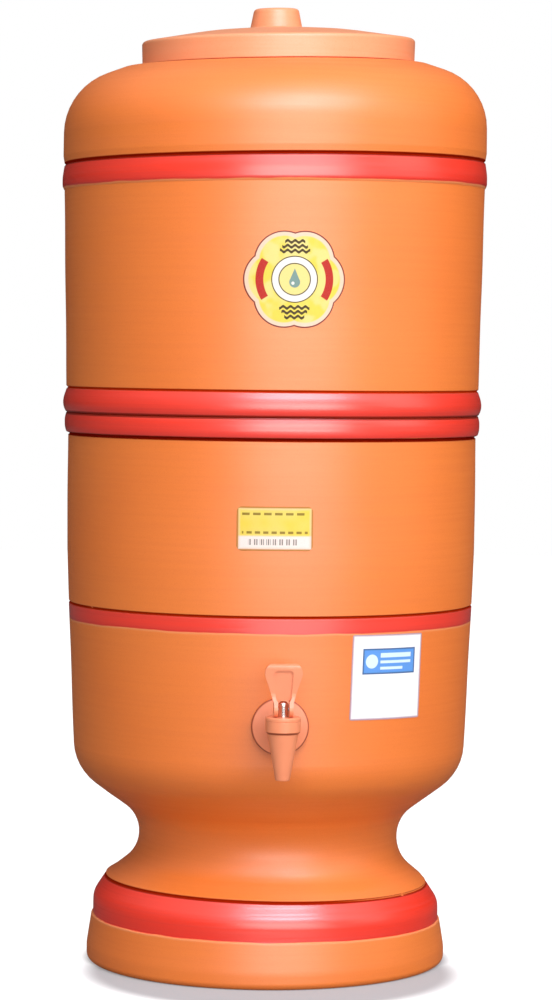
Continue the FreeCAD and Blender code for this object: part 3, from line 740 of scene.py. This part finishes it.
def upper_shift(radius, angle, z):
    """Out of true outside, spiralled inside, true at the spigot and the mouth."""
    if radius > upper_outer_reach:
        return outer_shift(angle, z)
    if radius > upper_inner_reach and z > upper_floor_z + 0.012:
        return finger_spiral(angle, z, 0.35, 0.5)
    return 0.0


lower_chamber = turned_piece("lower_chamber_clay", lower_line, lower_shift)
upper_chamber = turned_piece("upper_chamber_clay", upper_line, upper_shift, closed=True)

# %% Turn the lid
knob_reach = 0.017
knob_drift = -0.0015       # the knob is stuck on a little to the left
lid_oval = 0.0003
lid_slip = 0.0013          # the loose lid lies against the right of the mouth


def lid_shift(radius, angle, z):
    """The lid's edge is a little out of true, and its lip is not. The knob is off centre."""
    if z > lid_top_z - 0.0001 and radius < knob_reach:
        return knob_drift * math.cos(angle)
    return lid_oval * math.sin(2 * angle + 1.9) if radius > lip_radius + 0.002 else 0.0


lid = turned_piece("lid_clay", lid_line, lid_shift)
lid.data.transform(Matrix.Translation((lid_slip, 0, 0)))

# %% [markdown]
# ## The tap's hole
# The hole for the tap is drilled through the front wall before firing. Faces could be left out of
# the mesh there, but the rim would come out stepped. Instead a many-sided peg is taken out of the
# lower chamber with a Boolean modifier, and the result is kept as the mesh. The peg is turned by
# half a side, so that none of its edges lies in an edge of the clay.

# %% Drill the tap's hole
tap_hole_radius = 0.0085
peg_length = 0.03
peg_sides = 48


def drill(piece, centre, way, radius):
    """Takes a round peg out of a piece."""
    peg_mesh = bpy.data.meshes.new("peg")
    peg_form = bmesh.new()
    bmesh.ops.create_cone(peg_form, cap_ends=True, segments=peg_sides,
                          radius1=radius, radius2=radius, depth=peg_length)
    peg_form.to_mesh(peg_mesh)
    peg_form.free()
    peg = add_to_scene(peg_mesh, "peg")
    peg.matrix_world = facing(centre, way) @ Matrix.Rotation(math.pi / peg_sides, 4, "Z")
    hole = piece.modifiers.new("hole", "BOOLEAN")
    hole.object = peg
    hole.operation = "DIFFERENCE"
    drilled = piece.evaluated_get(bpy.context.evaluated_depsgraph_get())
    mesh = bpy.data.meshes.new_from_object(drilled)
    piece.modifiers.clear()
    piece.data = mesh
    bpy.data.objects.remove(peg)


hole_middle = Vector((0, -(wall_at(tap_axis_z) - wall / 2), tap_axis_z))
drill(lower_chamber, hole_middle, Vector((0, -1, 0)), tap_hole_radius)
print("lower chamber after drilling:", len(lower_chamber.data.polygons), "faces")

# %% Put the clay in the model
for piece, body, node, slot in (
    (lower_chamber, "lower_pot", "lower_chamber", "clay"),
    (upper_chamber, "upper_pot", "upper_chamber", "clay"),
    (lid, "lid", "lid", "clay_lid"),
):
    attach(piece, body)
    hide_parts(node)
    print(piece.name, "rides on", body)

# %% [markdown]
# ## Fired clay and painted rings
# The body is a smooth red earthenware, wiped with a wet sponge before firing. It shows fine
# grain, faint lines from turning, and slow changes of colour from the kiln. The rings are brushed
# on while the pot turns: the paint is redder and glossier, streaked along the stroke, and its
# lower edge wanders. An image wrapped round the pot would blur from close by, so one recipe does
# all of it from the height on the pot.

# %% Clay colours
clay = "#F47C20"
clay_pale = "#F88A30"
clay_deep = "#E06618"
ring_paint = "#FF3414"
# The deep red is thick paint in streaks and laps, and painted shade over each ring's lower half.
ring_thick_and_shade = "#DC1C08"
# A paler orange, painted as a highlight under each ring's lower edge.
ring_edge_highlight = "#F89A5C"
# Dark lines are painted shade in grooves and seams, with maroon paint gathered in the grooves.
line_paint_and_shade = "#7E0A00"
pale_line_paint_and_shade = "#C03408"
lid_pink = "#F59A66"
lid_pale = "#F8A874"
print("clay, linear:", [round(value, 3) for value in shade(clay)[:3]])

# %% Where the clay is painted
low_wander, high_wander = 0.0026, 0.0004   # how far the paint's edges wander
line_fade = 0.0005         # how softly paint and lines end towards the axis


def level_parts(mix):
    """Radius and height of a point, with the clay's sag taken out of the height."""
    x, y, z = mix.parts(mix.place())
    lean = mix.fade(z, foot_low_z, foot_groove_z, 0.0, -foot_sag) * mix.fade(z, foot_high_z, foot_groove_z)
    lean = lean + mix.fade(z, sag_low_z, sag_high_z, 0.0, sag_right)
    dip = mix.fade(z, front_sag_low_z, sag_high_z, 0.0, sag_back)
    return mix.hypot(x, y), z - (x * lean + y * dip)


def ring_masks(mix, rings, radius, z):
    """Masks of the paint, its shine, its thick laps with painted shade over each ring's lower half,
    and a painted highlight just under its lower edge.
    """
    wander = mix.clouds(26) - 0.5
    painted, shiny, thick_and_shade, edge_highlight = 0.0, 0.0, 0.0, 0.0
    for low, high, least, shine in rings:
        outside = mix.fade(radius, least - line_fade, least)
        low_edge = z - (wander * low_wander + low)
        under = wander * high_wander + high - z
        brushed = mix.fade(low_edge, -0.0002, 0.0003) * mix.fade(under, -0.0002, 0.0002) * outside
        painted = mix.most(painted, brushed)
        shiny = mix.most(shiny, brushed * shine)
        lap = mix.fade(low_edge, 0.0, 0.0004) * mix.fade(low_edge, 0.0022, 0.0006)
        # Deeper red over the lower half of each ring is painted shade.
        lower_half_shade = mix.fade(low_edge, (high - low) * 0.5, 0.0006, 0.0, 0.6)
        lower_half_shade = lower_half_shade * mix.fade(low_edge, -0.0006, 0.0)
        thick_and_shade = mix.most(thick_and_shade, mix.most(lap, lower_half_shade))
        # A paler line just under each ring's lower edge is a painted highlight.
        under_edge_highlight = mix.fade(low_edge, -0.0016, -0.0003) * mix.fade(low_edge, 0.0003, 0.0)
        edge_highlight = mix.most(edge_highlight, under_edge_highlight * outside)
    return painted, shiny, thick_and_shade, edge_highlight


print("paint's lower edge wanders over", low_wander * 1000, "mm")

# %% Clay recipe
def clay_finish(name, rings=(), lines=(), main=clay, pale=clay_pale, deep=clay_deep):
    """Clay with painted rings (low, high, least radius, shine) and dark lines (height, least
    radius, wear, half width, softness), which are painted shade in grooves and seams, with maroon
    paint gathered in the grooves. Worn lines are broken by chips, soft ones are paler."""
    mix = new_recipe(name, main)
    radius, z = level_parts(mix)
    kiln = mix.clouds(9, detail=2)
    turning = mix.clouds(1, squeeze=(14, 14, 620))
    grain = mix.clouds(1500, detail=2)
    mix.lay(pale, mix.fade(kiln, 0.3, 0.7, 0.0, 0.35))
    mix.lay(deep, mix.fade(turning, 0.35, 0.75, 0.0, 0.12))
    mix.lay(deep, mix.fade(grain, 0.45, 0.75, 0.0, 0.22))
    rough = mix.fade(turning + grain, 0.7, 1.3, 0.43, 0.5)

    brush = mix.clouds(1, detail=4, squeeze=(9, 9, 900))
    painted, shiny, thick_and_shade, edge_highlight = ring_masks(mix, rings, radius, z)
    # The paler line under each ring's lower edge is a painted highlight.
    mix.lay(ring_edge_highlight, edge_highlight * 0.7)
    paint = mix.blend(mix.fade(brush, 0.4, 0.75, 0.0, 0.18), ring_paint, ring_thick_and_shade)
    # Over each ring's lower half the deep red is painted shade, and at the lower edge it is thicker paint.
    paint = mix.blend(thick_and_shade * 0.6, paint, ring_thick_and_shade)
    mix.lay(paint, painted)
    rough = mix.fade(painted, 0.0, 1.0, rough, mix.fade(brush, 0.3, 0.7, 0.3, 0.44))

    chips = mix.clouds(60)
    dark = 0.0
    # Dark lines: painted shade in grooves and seams, with maroon paint gathered in the grooves.
    for height, least, wear, half_width, softness in lines:
        outside = mix.fade(radius, least - line_fade, least)
        line = mix.fade(abs(z - height), half_width + 0.0004, half_width - 0.0004) * outside
        line = line * mix.fade(chips, wear, wear + 0.06)
        dark = mix.most(dark, line)
        mix.lay(mix.blend(softness, line_paint_and_shade, pale_line_paint_and_shade), line)
    rough = mix.fade(dark, 0.0, 1.0, rough, 1.0)

    relief = mix.fade(painted, 0.0, 1.0, grain * 0.4 + turning * 0.25, brush * 0.5 + 0.3)
    mirror = mix.fade(dark, 0.0, 1.0, 0.5, 0.0)
    return mix.finish(rough, relief, 0.0001, IOR=1.95, Specular_IOR_Level=mirror, Coat_Weight=shiny,
                      Coat_Roughness=0.34, Coat_IOR=1.66)


print("clay recipe ready")

# %% Rings and lines of each piece
lower_rings = [
    (base_step_z, base_groove_z - 0.0006, 0.0955, 0.3),
    (mid_groove_z - 0.0093, mid_groove_z - 0.0006, 0.115, 1.0),
    (bead_low_z - 0.0002, joint_z + 0.001, 0.1215, 0.9),
]
# The lines in the grooves and at the joint are painted shade with maroon paint.
lower_lines = [
    (base_groove_z, 0.0955, 0.3, 0.001, 0.3),
    (mid_groove_z, 0.115, 0.22, 0.0009, 0.5),
    (lower_groove_z, 0.12, 0.15, 0.0012, 0.1),
    (joint_z, 0.1215, 0.15, 0.0012, 0.3),
]
upper_rings = [
    (joint_z - 0.001, upper_groove_z - 0.0006, 0.1215, 0.9),
    (band_low_z + 0.0012, band_groove_z - 0.0006, 0.1215, 0.7),
]
upper_lines = [
    (joint_z, 0.1215, 0.15, 0.0012, 0.3),
    (upper_groove_z, 0.1215, 0.2, 0.0008, 0.7),
    (band_groove_z, 0.1215, 0.15, 0.0013, 0.2),
]
# The lid's dark line is painted shade along its rim, where it sits on the shoulder.
lid_rim_shade = [(rim_z + 0.0006, 0.078, 0.25, 0.0005, 0.5)]


def dress(material, *pieces):
    """The pieces wear one material all over."""
    for piece in pieces:
        piece.data.materials.clear()
        piece.data.materials.append(material)


def dress_nodes(material, names):
    """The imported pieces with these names, written with spaces between, wear one material."""
    dress(material, *(nodes[name] for name in names.split()))


dress(clay_finish("lower_clay", lower_rings, lower_lines), lower_chamber)
dress(clay_finish("upper_clay", upper_rings, upper_lines), upper_chamber)
dress(clay_finish("lid_clay", lines=lid_rim_shade, main=lid_pink, pale=lid_pale, deep=clay), lid)
print("clay dressed")

# %% [markdown]
# ## Paper labels
# Three labels are stuck on the front: a six-lobed badge, a small printed note, and a square one
# to the right of the tap. Each is a flat cut sheet bent round the wall, a fifth of a millimetre
# thick. A Shrinkwrap modifier could press a flat sheet on the wall, but its gap and thickness
# would vary. Here an outline is filled with rings of points from its middle outwards, and every
# point is laid on the wall with the same unevenness as the clay under it.

# %% Sheet that follows the wall
label_gap = 0.00005
label_thick = 0.0002
sheet_rings = 14


def on_wall(across, up, place, lift):
    """Where a flat label's point comes on the wall, lifted off the clay."""
    centre_z, turn, lean = place
    x = across * math.cos(lean) + up * math.sin(lean)
    z = centre_z + up * math.cos(lean) - across * math.sin(lean)
    angle = math.asin(x / wall_at(z)) + turn - math.pi / 2
    reach = wall_at(z) + outer_shift(angle, z) + lift
    x, y = reach * math.cos(angle), reach * math.sin(angle)
    return x, y, z + sag(x, y, z)


def label_piece(name, outline, place):
    """A closed thin sheet inside a flat outline: out along its back, and in along its front."""
    layers = []
    for lift in (label_gap, label_gap + label_thick):
        layer = [[on_wall(0, 0, place, lift)]]
        for ring in range(1, sheet_rings + 1):
            share = ring / sheet_rings
            layer.append([on_wall(across * share, up * share, place, lift) for across, up in outline])
        layers.append(layer)
    return skin(name, layers[0] + layers[1][::-1])


print("label thickness:", label_thick * 1000, "mm")

# %% Badge, note and square label
lobes = 6
lobe_out = 0.0117          # badge's middle to the middle of each lobe
lobe_radius = 0.0171
badge_points = 180
note_width, note_height, note_round = 0.0432, 0.025, 0.003
square_size, square_round = 0.049, 0.0012

# Each place is the middle's height, its turn round the pot to the right, and the label's lean.
badge_place = (0.4065, math.radians(2.4), 0.0)
note_place = (0.2659, math.radians(-2.0), 0.0)
square_place = (0.1805, math.radians(31.8), math.radians(0.6))


def lobed_outline():
    """Round a ring of overlapping discs, one for each lobe."""
    outline = []
    for angle in round_angles(badge_points):
        off = (angle + math.pi / lobes) % (2 * math.pi / lobes) - math.pi / lobes
        reach = lobe_out * math.cos(off) + math.sqrt(lobe_radius ** 2 - (lobe_out * math.sin(off)) ** 2)
        outline.append((reach * math.cos(angle), reach * math.sin(angle)))
    return outline


def box_outline(width, height, rounding):
    """Round a rectangle with rounded corners."""
    corners = [(a * width / 2, b * height / 2, rounding) for a, b in ((-1, -1), (1, -1), (1, 1), (-1, 1))]
    return [tuple(point) for point in rounded_line(corners)]


badge = label_piece("badge_sheet", lobed_outline(), badge_place)
note = label_piece("note_sheet", box_outline(note_width, note_height, note_round), note_place)
square = label_piece("square_sheet", box_outline(square_size, square_size, square_round), square_place)
for piece, body, node, slot in (
    (badge, "upper_pot", "round_label", "badge_paper"),
    (note, "lower_pot", "info_label", "info_paper"),
    (square, "lower_pot", "rating_label", "rating_paper"),
):
    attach(piece, body)
    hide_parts(node)

# %% [markdown]
# ## Printing the labels
# The prints are plain shapes: discs, bars, ribbons and waves. Images could hold them, but masks
# need no file and stay sharp from close by. A mask is 1 inside its shape and 0 outside it, worked
# out from the flat place on the sheet, and a colour is laid over the paper through it. Ink
# spreads a little, so every edge is a tenth of a millimetre soft.

# %% Flat place and masks
ink_soft = 0.00012
paper_age = "#B98A50"


class Print(Recipe):
    """A recipe with the flat place on one label, and masks of simple shapes."""

    def __init__(self, name, colour, place):
        super().__init__(bpy.data.materials.new(name), colour)
        centre_z, turn, lean = place
        flat = self.add("Mapping", self.place(), (0, 0, centre_z), (0, lean, turn),
                        vector_type="TEXTURE")
        self.across, _, self.up = self.parts(flat.outputs[0])

    def within(self, depth):
        """1 where depth, the distance inside a shape's edge, is above zero."""
        return self.fade(depth, -ink_soft, ink_soft)

    def from_point(self, across, up):
        """Distance from a point of the sheet."""
        return self.hypot(self.across - across, self.up - up)

    def disc(self, across, up, radius):
        return self.within(radius - self.from_point(across, up))

    def hoop(self, radius, half_width):
        """A ring round the sheet's middle."""
        return self.within(half_width - abs(self.from_point(0, 0) - radius))

    def bar_depth(self, across, up, half_width, half_height):
        """Distance inside the edge of a rectangle."""
        return self.math("MINIMUM", half_width - abs(self.across - across), half_height - abs(self.up - up))

    def bar(self, across, up, half_width, half_height):
        return self.within(self.bar_depth(across, up, half_width, half_height))

    def dashes(self, pitch, share, shift=0.0):
        """Upright stripes along the sheet, share of each pitch printed."""
        beat = self.math("FRACT", self.across * (1 / pitch) + (100 + shift))
        return self.fade(beat, share, share - 0.06)

    def paper(self, roughness):
        """Ends in coated paper, with a faint fibre and a slight ripple."""
        fibre = self.clouds(1, squeeze=(1800, 1800, 1800))
        relief = self.clouds(70, detail=1) * 3.0 + fibre
        self.lay(paper_age, self.fade(fibre, 0.4, 0.8, 0.0, 0.1))
        rough = self.fade(fibre, 0.3, 0.7, roughness - 0.05, roughness + 0.05)
        return self.finish(rough, relief, 0.00003, Specular_IOR_Level=0.25)


print("print helper ready")

# %% Badge's field: maroon edge with painted shadow, cream line, mottled yellow
maroon_edge_and_shadow, cream, yellow = "#7A2B22", "#E6C6A8", "#DCC838"
yellow_pale, olive, red_ink = "#E0D07C", "#3E2E00", "#B41404"
white_ink, drop_ink = "#E6E2D2", "#6F8F86"

# The maroon edge is the badge's printed border together with a painted shadow of the sheet's edge.
ink = Print("badge_print", maroon_edge_and_shadow, badge_place)
depth = -1.0
for angle in round_angles(lobes):
    middle = ink.from_point(lobe_out * math.cos(angle), lobe_out * math.sin(angle))
    depth = ink.most(depth, lobe_radius - middle)
field = ink.blend(ink.fade(ink.clouds(110, detail=1), 0.4, 0.6, 0.1, 0.9), yellow, yellow_pale)
ink.lay(cream, ink.within(depth - 0.0007))
ink.lay(field, ink.fade(depth, 0.0024, 0.0034))
print("badge field nodes:", len(ink.tree.nodes))

# %% Badge's print: a drop in a disc, between waves and ribbons
side, rise = abs(ink.across), abs(ink.up)
from_level = ink.math("ARCTAN2", rise, side)
ink.lay(red_ink, ink.hoop(0.0198, 0.0022) * ink.fade(from_level, 0.58, 0.55))

bend = ink.math("COSINE", ink.across * 1500) * 0.0006
bent_rise = rise - bend
for row, half_length in enumerate((0.0086, 0.0073, 0.0057)):
    off = abs(bent_rise - (0.0158 + 0.0027 * row))
    ink.lay(olive, ink.within(0.0008 - off) * ink.within(half_length - side))

for radius, tone in ((0.0132, olive), (0.0126, white_ink), (0.0092, olive), (0.0086, yellow_pale)):
    ink.lay(tone, ink.disc(0, 0, radius))
point = (0.0062 - ink.up) * 0.42
tip = ink.within(point - abs(ink.across)) * ink.fade(ink.up, -0.0006, -0.0002)
ink.lay(drop_ink, ink.most(ink.disc(0, -0.0016, 0.0031), tip))
ink.lay(white_ink, ink.disc(-0.001, -0.0022, 0.0009))
dress(ink.paper(0.32), badge)
print("badge nodes:", len(ink.tree.nodes))

# %% Note print: a yellow field with dashes over a white strip with ticks
note_yellow, note_olive, note_grey = "#E6C838", "#6E5400", "#4A463E"
note_white, note_edge_shadow = "#EADCD0", "#B87A30"
strip_top = -0.0042
print_share = 0.8

ink = Print("note_print", note_white, note_place)
depth = ink.bar_depth(0, 0, note_width / 2, note_height / 2)
field = ink.blend(ink.fade(ink.clouds(60, detail=1), 0.3, 0.7, 0.0, 0.5), note_yellow, yellow_pale)
ink.lay(field, ink.fade(ink.up, strip_top - 0.0008, strip_top + 0.0008))
rows = ink.most(ink.bar(0, 0.0083, 0.0186, 0.0007) * ink.dashes(0.0062, 0.72),
                ink.bar(0, -0.0022, 0.0186, 0.0007) * ink.dashes(0.0047, 0.66, 0.4))
ink.lay(note_olive, rows * print_share)
ticks = ink.bar(-0.001, -0.0076, 0.014, 0.0017) * ink.dashes(0.0013, 0.6) * ink.dashes(0.0037, 0.7, 0.3)
ink.lay(note_grey, ticks * print_share)
ink.lay(cream, ink.fade(depth, 0.0026, 0.0012, 0.0, 0.5))
# A brown line along the note's edge is a painted shadow of the sheet's edge.
ink.lay(note_edge_shadow, ink.fade(depth, 0.0014, 0.0005))
dress(ink.paper(0.38), note)
print("note nodes:", len(ink.tree.nodes))

# %% Square print: a blue panel with a plain dot and bars on white
panel_blue, panel_edge, panel_pale = "#5E9BE0", "#3F648F", "#D6EEF6"
sheet_white, sheet_edge_shadow = "#FBFAF8", "#B49AA4"
panel_half_height = 0.0074
panel_side = 0.0008
panel_up = square_size / 2 - 0.008 - panel_half_height
bars_side = panel_side + 0.0042

# The greyish rim along the sheet's edge is a painted shadow.
ink = Print("square_print", sheet_edge_shadow, square_place)
depth = ink.bar_depth(0, 0, square_size / 2, square_size / 2)
ink.lay(sheet_white, ink.fade(depth, 0.0003, 0.0016))
panel = ink.bar_depth(panel_side, panel_up, 0.0185, panel_half_height)
ink.lay(panel_edge, ink.within(panel))
ink.lay(panel_blue, ink.fade(panel, 0.0004, 0.0013))
ink.lay(panel_pale, ink.most(
    ink.disc(panel_side - 0.0125, panel_up, 0.004),
    ink.bar(bars_side, panel_up + 0.0034, 0.011, 0.0013),
    ink.bar(bars_side, panel_up - 0.0004, 0.011, 0.0008),
    ink.bar(bars_side - 0.003, panel_up - 0.004, 0.008, 0.0008),
))
dress(ink.paper(0.4), square)
print("square nodes:", len(ink.tree.nodes))

# %% [markdown]
# ## The tap
# The tap is moulded in a terracotta-coloured plastic, a little pinker than the clay, with a soft
# satin skin. Its stem is chromed, and the chrome's pink tint paints in the plastic's reflection.
# The CAD solids have their real shapes and moulded edges, so they stay, and only the finish is
# added: faint flow marks, a fine spark texture, and a slow change of gloss where fingers have
# polished it. Shade is painted into two corners, round the flange's rim and under the collar, so
# the body gets a recipe of its own.

# %% Moulded plastic
# The third colour is painted shade for the tap's corners.
tap_colour, tap_deep, tap_corner_shade = "#F29468", "#DE784C", "#8E2E10"
flange_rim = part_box("tap_body")[1].x
flange_back_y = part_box("tap_outer_gasket")[0].y
flange_front_y = flange_back_y - 0.004
collar_shade_z = tap_axis_z + 0.0001


def shaded_tap_corners(mix):
    """A mask of the flange's rim and the corner under the collar, where shade is painted."""
    x, y, z = mix.parts(mix.place())
    out = mix.hypot(x, z - tap_axis_z)
    rim = mix.fade(out, flange_rim - 0.0011, flange_rim - 0.0004)
    rim = rim * mix.fade(y, flange_front_y, flange_front_y + 0.001)
    corner = mix.fade(abs(z - collar_shade_z), 0.0009, 0.0004)
    corner = corner * mix.fade(y, flange_front_y, flange_front_y - 0.002)
    return mix.most(rim, corner)


def moulded(name, main, deep, roughness, corner_shade=None):
    """Moulded plastic: nearly even colour, a fine skin, and patches of more gloss. Painted shade,
    where it has a colour, lies in the tap's corners."""
    mix = new_recipe(name, main)
    flow = mix.clouds(45, detail=2)
    mix.lay(deep, mix.fade(flow, 0.3, 0.8, 0.0, 0.3))
    if corner_shade:
        # Painted shade on the flange's rim and under the collar.
        mix.lay(corner_shade, shaded_tap_corners(mix) * 0.75)
    rough = mix.fade(flow, 0.3, 0.7, roughness - 0.05, roughness + 0.06)
    return mix.finish(rough, mix.clouds(2600, detail=2), 0.00003)


print("tap's axis at", tap_axis_z, "m, flange radius", round(flange_rim, 4), "m")

# %% Chrome, steel and the tap's finishes
def metal(name, main, roughness, squeeze):
    """Bare or plated metal with fine marks along one direction."""
    mix = new_recipe(name, main)
    marks = mix.clouds(900, squeeze=squeeze)
    mix.lay("#8C8C90", mix.fade(marks, 0.3, 0.7, 0.0, 0.2))
    rough = mix.fade(marks, 0.3, 0.7, roughness, roughness + 0.08)
    return mix.finish(rough, marks, 0.00001, Metallic=1.0)


tap_plastic = moulded("tap_plastic", tap_colour, tap_deep, 0.35)
# The chrome's pink tint is a painted reflection of the tap's pink plastic round it.
chrome = metal("chrome_plate", "#F2E6E0", 0.16, squeeze=(1, 1, 0.05))
steel = metal("steel", "#B8B8BA", 0.28, squeeze=(0.05, 1, 1))
dress_nodes(tap_plastic, "tap_nut tap_bonnet tap_lever")
dress_nodes(moulded("tap_body_plastic", tap_colour, tap_deep, 0.35, tap_corner_shade), "tap_body")
dress_nodes(chrome, "tap_stem")
dress_nodes(steel, "tap_pin float_pin")
print("tap dressed")

# %% Rubber and silicone
def rubber_finish(name, main, pale, roughness):
    """Soft moulded rubber: dull, with a pale bloom in patches and a fine skin."""
    mix = new_recipe(name, main)
    bloom = mix.clouds(120)
    mix.lay(pale, mix.fade(bloom, 0.45, 0.8, 0.0, 0.5))
    rough = mix.fade(bloom, 0.3, 0.7, roughness - 0.08, roughness + 0.06)
    return mix.finish(rough, mix.clouds(1800, detail=2), 0.00005)


rubber = rubber_finish("black_rubber", "#1E1D1C", "#4A4744", 0.72)
silicone = rubber_finish("silicone", "#D9D4C6", "#EFEDE6", 0.45)
dress_nodes(rubber, "tap_outer_gasket tap_inner_gasket tap_stem_washer")
dress_nodes(rubber, "candle_gasket candle_washer float_pad")
dress_nodes(silicone, "tap_seat_cup")
print("seals dressed")

# %% [markdown]
# ## The tap's spring
# A small steel spring round the stem pushes the valve shut. When the lever lifts the stem, the
# spring is squeezed against the bonnet. The coil is made again as a mesh of its own.

# %% Wind the spring
stem_axis = Vector((0, -0.14995, 0))
spring_low, spring_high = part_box("tap_spring")[0].z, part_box("tap_spring")[1].z
wire_radius = 0.00035
wire_sides = 10
coil_radius = 0.00365
coil_turns = 4.5
turn_steps = 28


def wound_spring(name, low, high):
    """A round wire wound down a helix, with flat closed ends."""
    count = round(coil_turns * turn_steps)
    rows = []
    for step in range(count, -1, -1):
        angle = 2 * math.pi * step / turn_steps
        out = Vector((math.cos(angle), math.sin(angle), 0))
        middle = stem_axis + out * coil_radius + UP * (low + (high - low) * step / count)
        rows.append([middle + (out * math.cos(turn) + UP * math.sin(turn)) * wire_radius
                     for turn in round_angles(wire_sides)])
    return skin(name, rows, capped=True)


spring = wound_spring("spring_coil", spring_low + wire_radius, spring_high - wire_radius)
dress(steel, spring)

# %% Attach the spring
bonnet_seat_z = 0.1599
stem_lift = next(j for j in frame["joints"] if j["name"] == "tap_stem_lift")["range_m"][1]
spring_length = bonnet_seat_z - spring_low
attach(spring, "lower_pot")
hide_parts("tap_spring")
1 - stem_lift / spring_length
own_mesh(spring)
print("spring shortens from", round(spring_length * 1000, 2), "mm by", stem_lift * 1000, "mm")

# %% [markdown]
# ## The candle and the float valve
# These pieces hide inside the pot until the lid or the upper chamber is lifted. The candle is
# unglazed porous ceramic, chalky and a little stained near its foot. The cup, the wing nut and
# the valve are white moulded plastic, and the float is closed-cell foam. Pores and foam cells are
# too small to be worth a mesh, so a pattern of grains makes them in the relief.

# %% Candle ceramic
mix = new_recipe("candle_ceramic", "#ECE7DA")
height = mix.parts(mix.place())[2]
pores = mix.fade(mix.grains(900), 0.12, 0.3)
cloud = mix.clouds(40, detail=4)
stain_level = cloud * 0.03 + height
mix.lay("#DDD3BE", mix.fade(cloud, 0.3, 0.7, 0.0, 0.5))
mix.lay("#C9AE86", mix.fade(stain_level, 0.385, 0.345, 0.0, 0.35))
mix.lay("#A89C86", 1.0 - pores)
rough = mix.fade(cloud, 0.3, 0.7, 0.8, 0.92)
dress_nodes(mix.finish(rough, pores, 0.00015), "candle_shell")
print("candle dressed")

# %% Carbon, white plastic and foam
mix = new_recipe("carbon_grains", "#3A3A3C")
grain = mix.grains(700)
mix.lay("#121213", mix.fade(grain, 0.1, 0.6))
dress_nodes(mix.finish(mix.fade(grain, 0.1, 0.6, 0.45, 0.85), grain, 0.0006), "candle_core")

white_plastic = moulded("white_plastic", "#E9E8E2", "#D6D2C4", 0.36)
dress_nodes(white_plastic, "candle_base candle_nut float_valve_body float_arm")

mix = new_recipe("float_foam", "#F0EFE9")
cells = mix.grains(1400)
mix.lay("#CFCCC0", mix.fade(cells, 0.15, 0.55))
dress_nodes(mix.finish(mix.fade(cells, 0.1, 0.6, 0.55, 0.75), cells, 0.00025), "float_ball")
print("inner pieces dressed")

# %% [markdown]
# ## Pieces without a material
# Every shown piece should wear a finish, so the last line lists those that have none.

# %% Pieces without a material
bare = [piece.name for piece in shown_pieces() if not piece.data.materials]
print("pieces without a material:", bare)
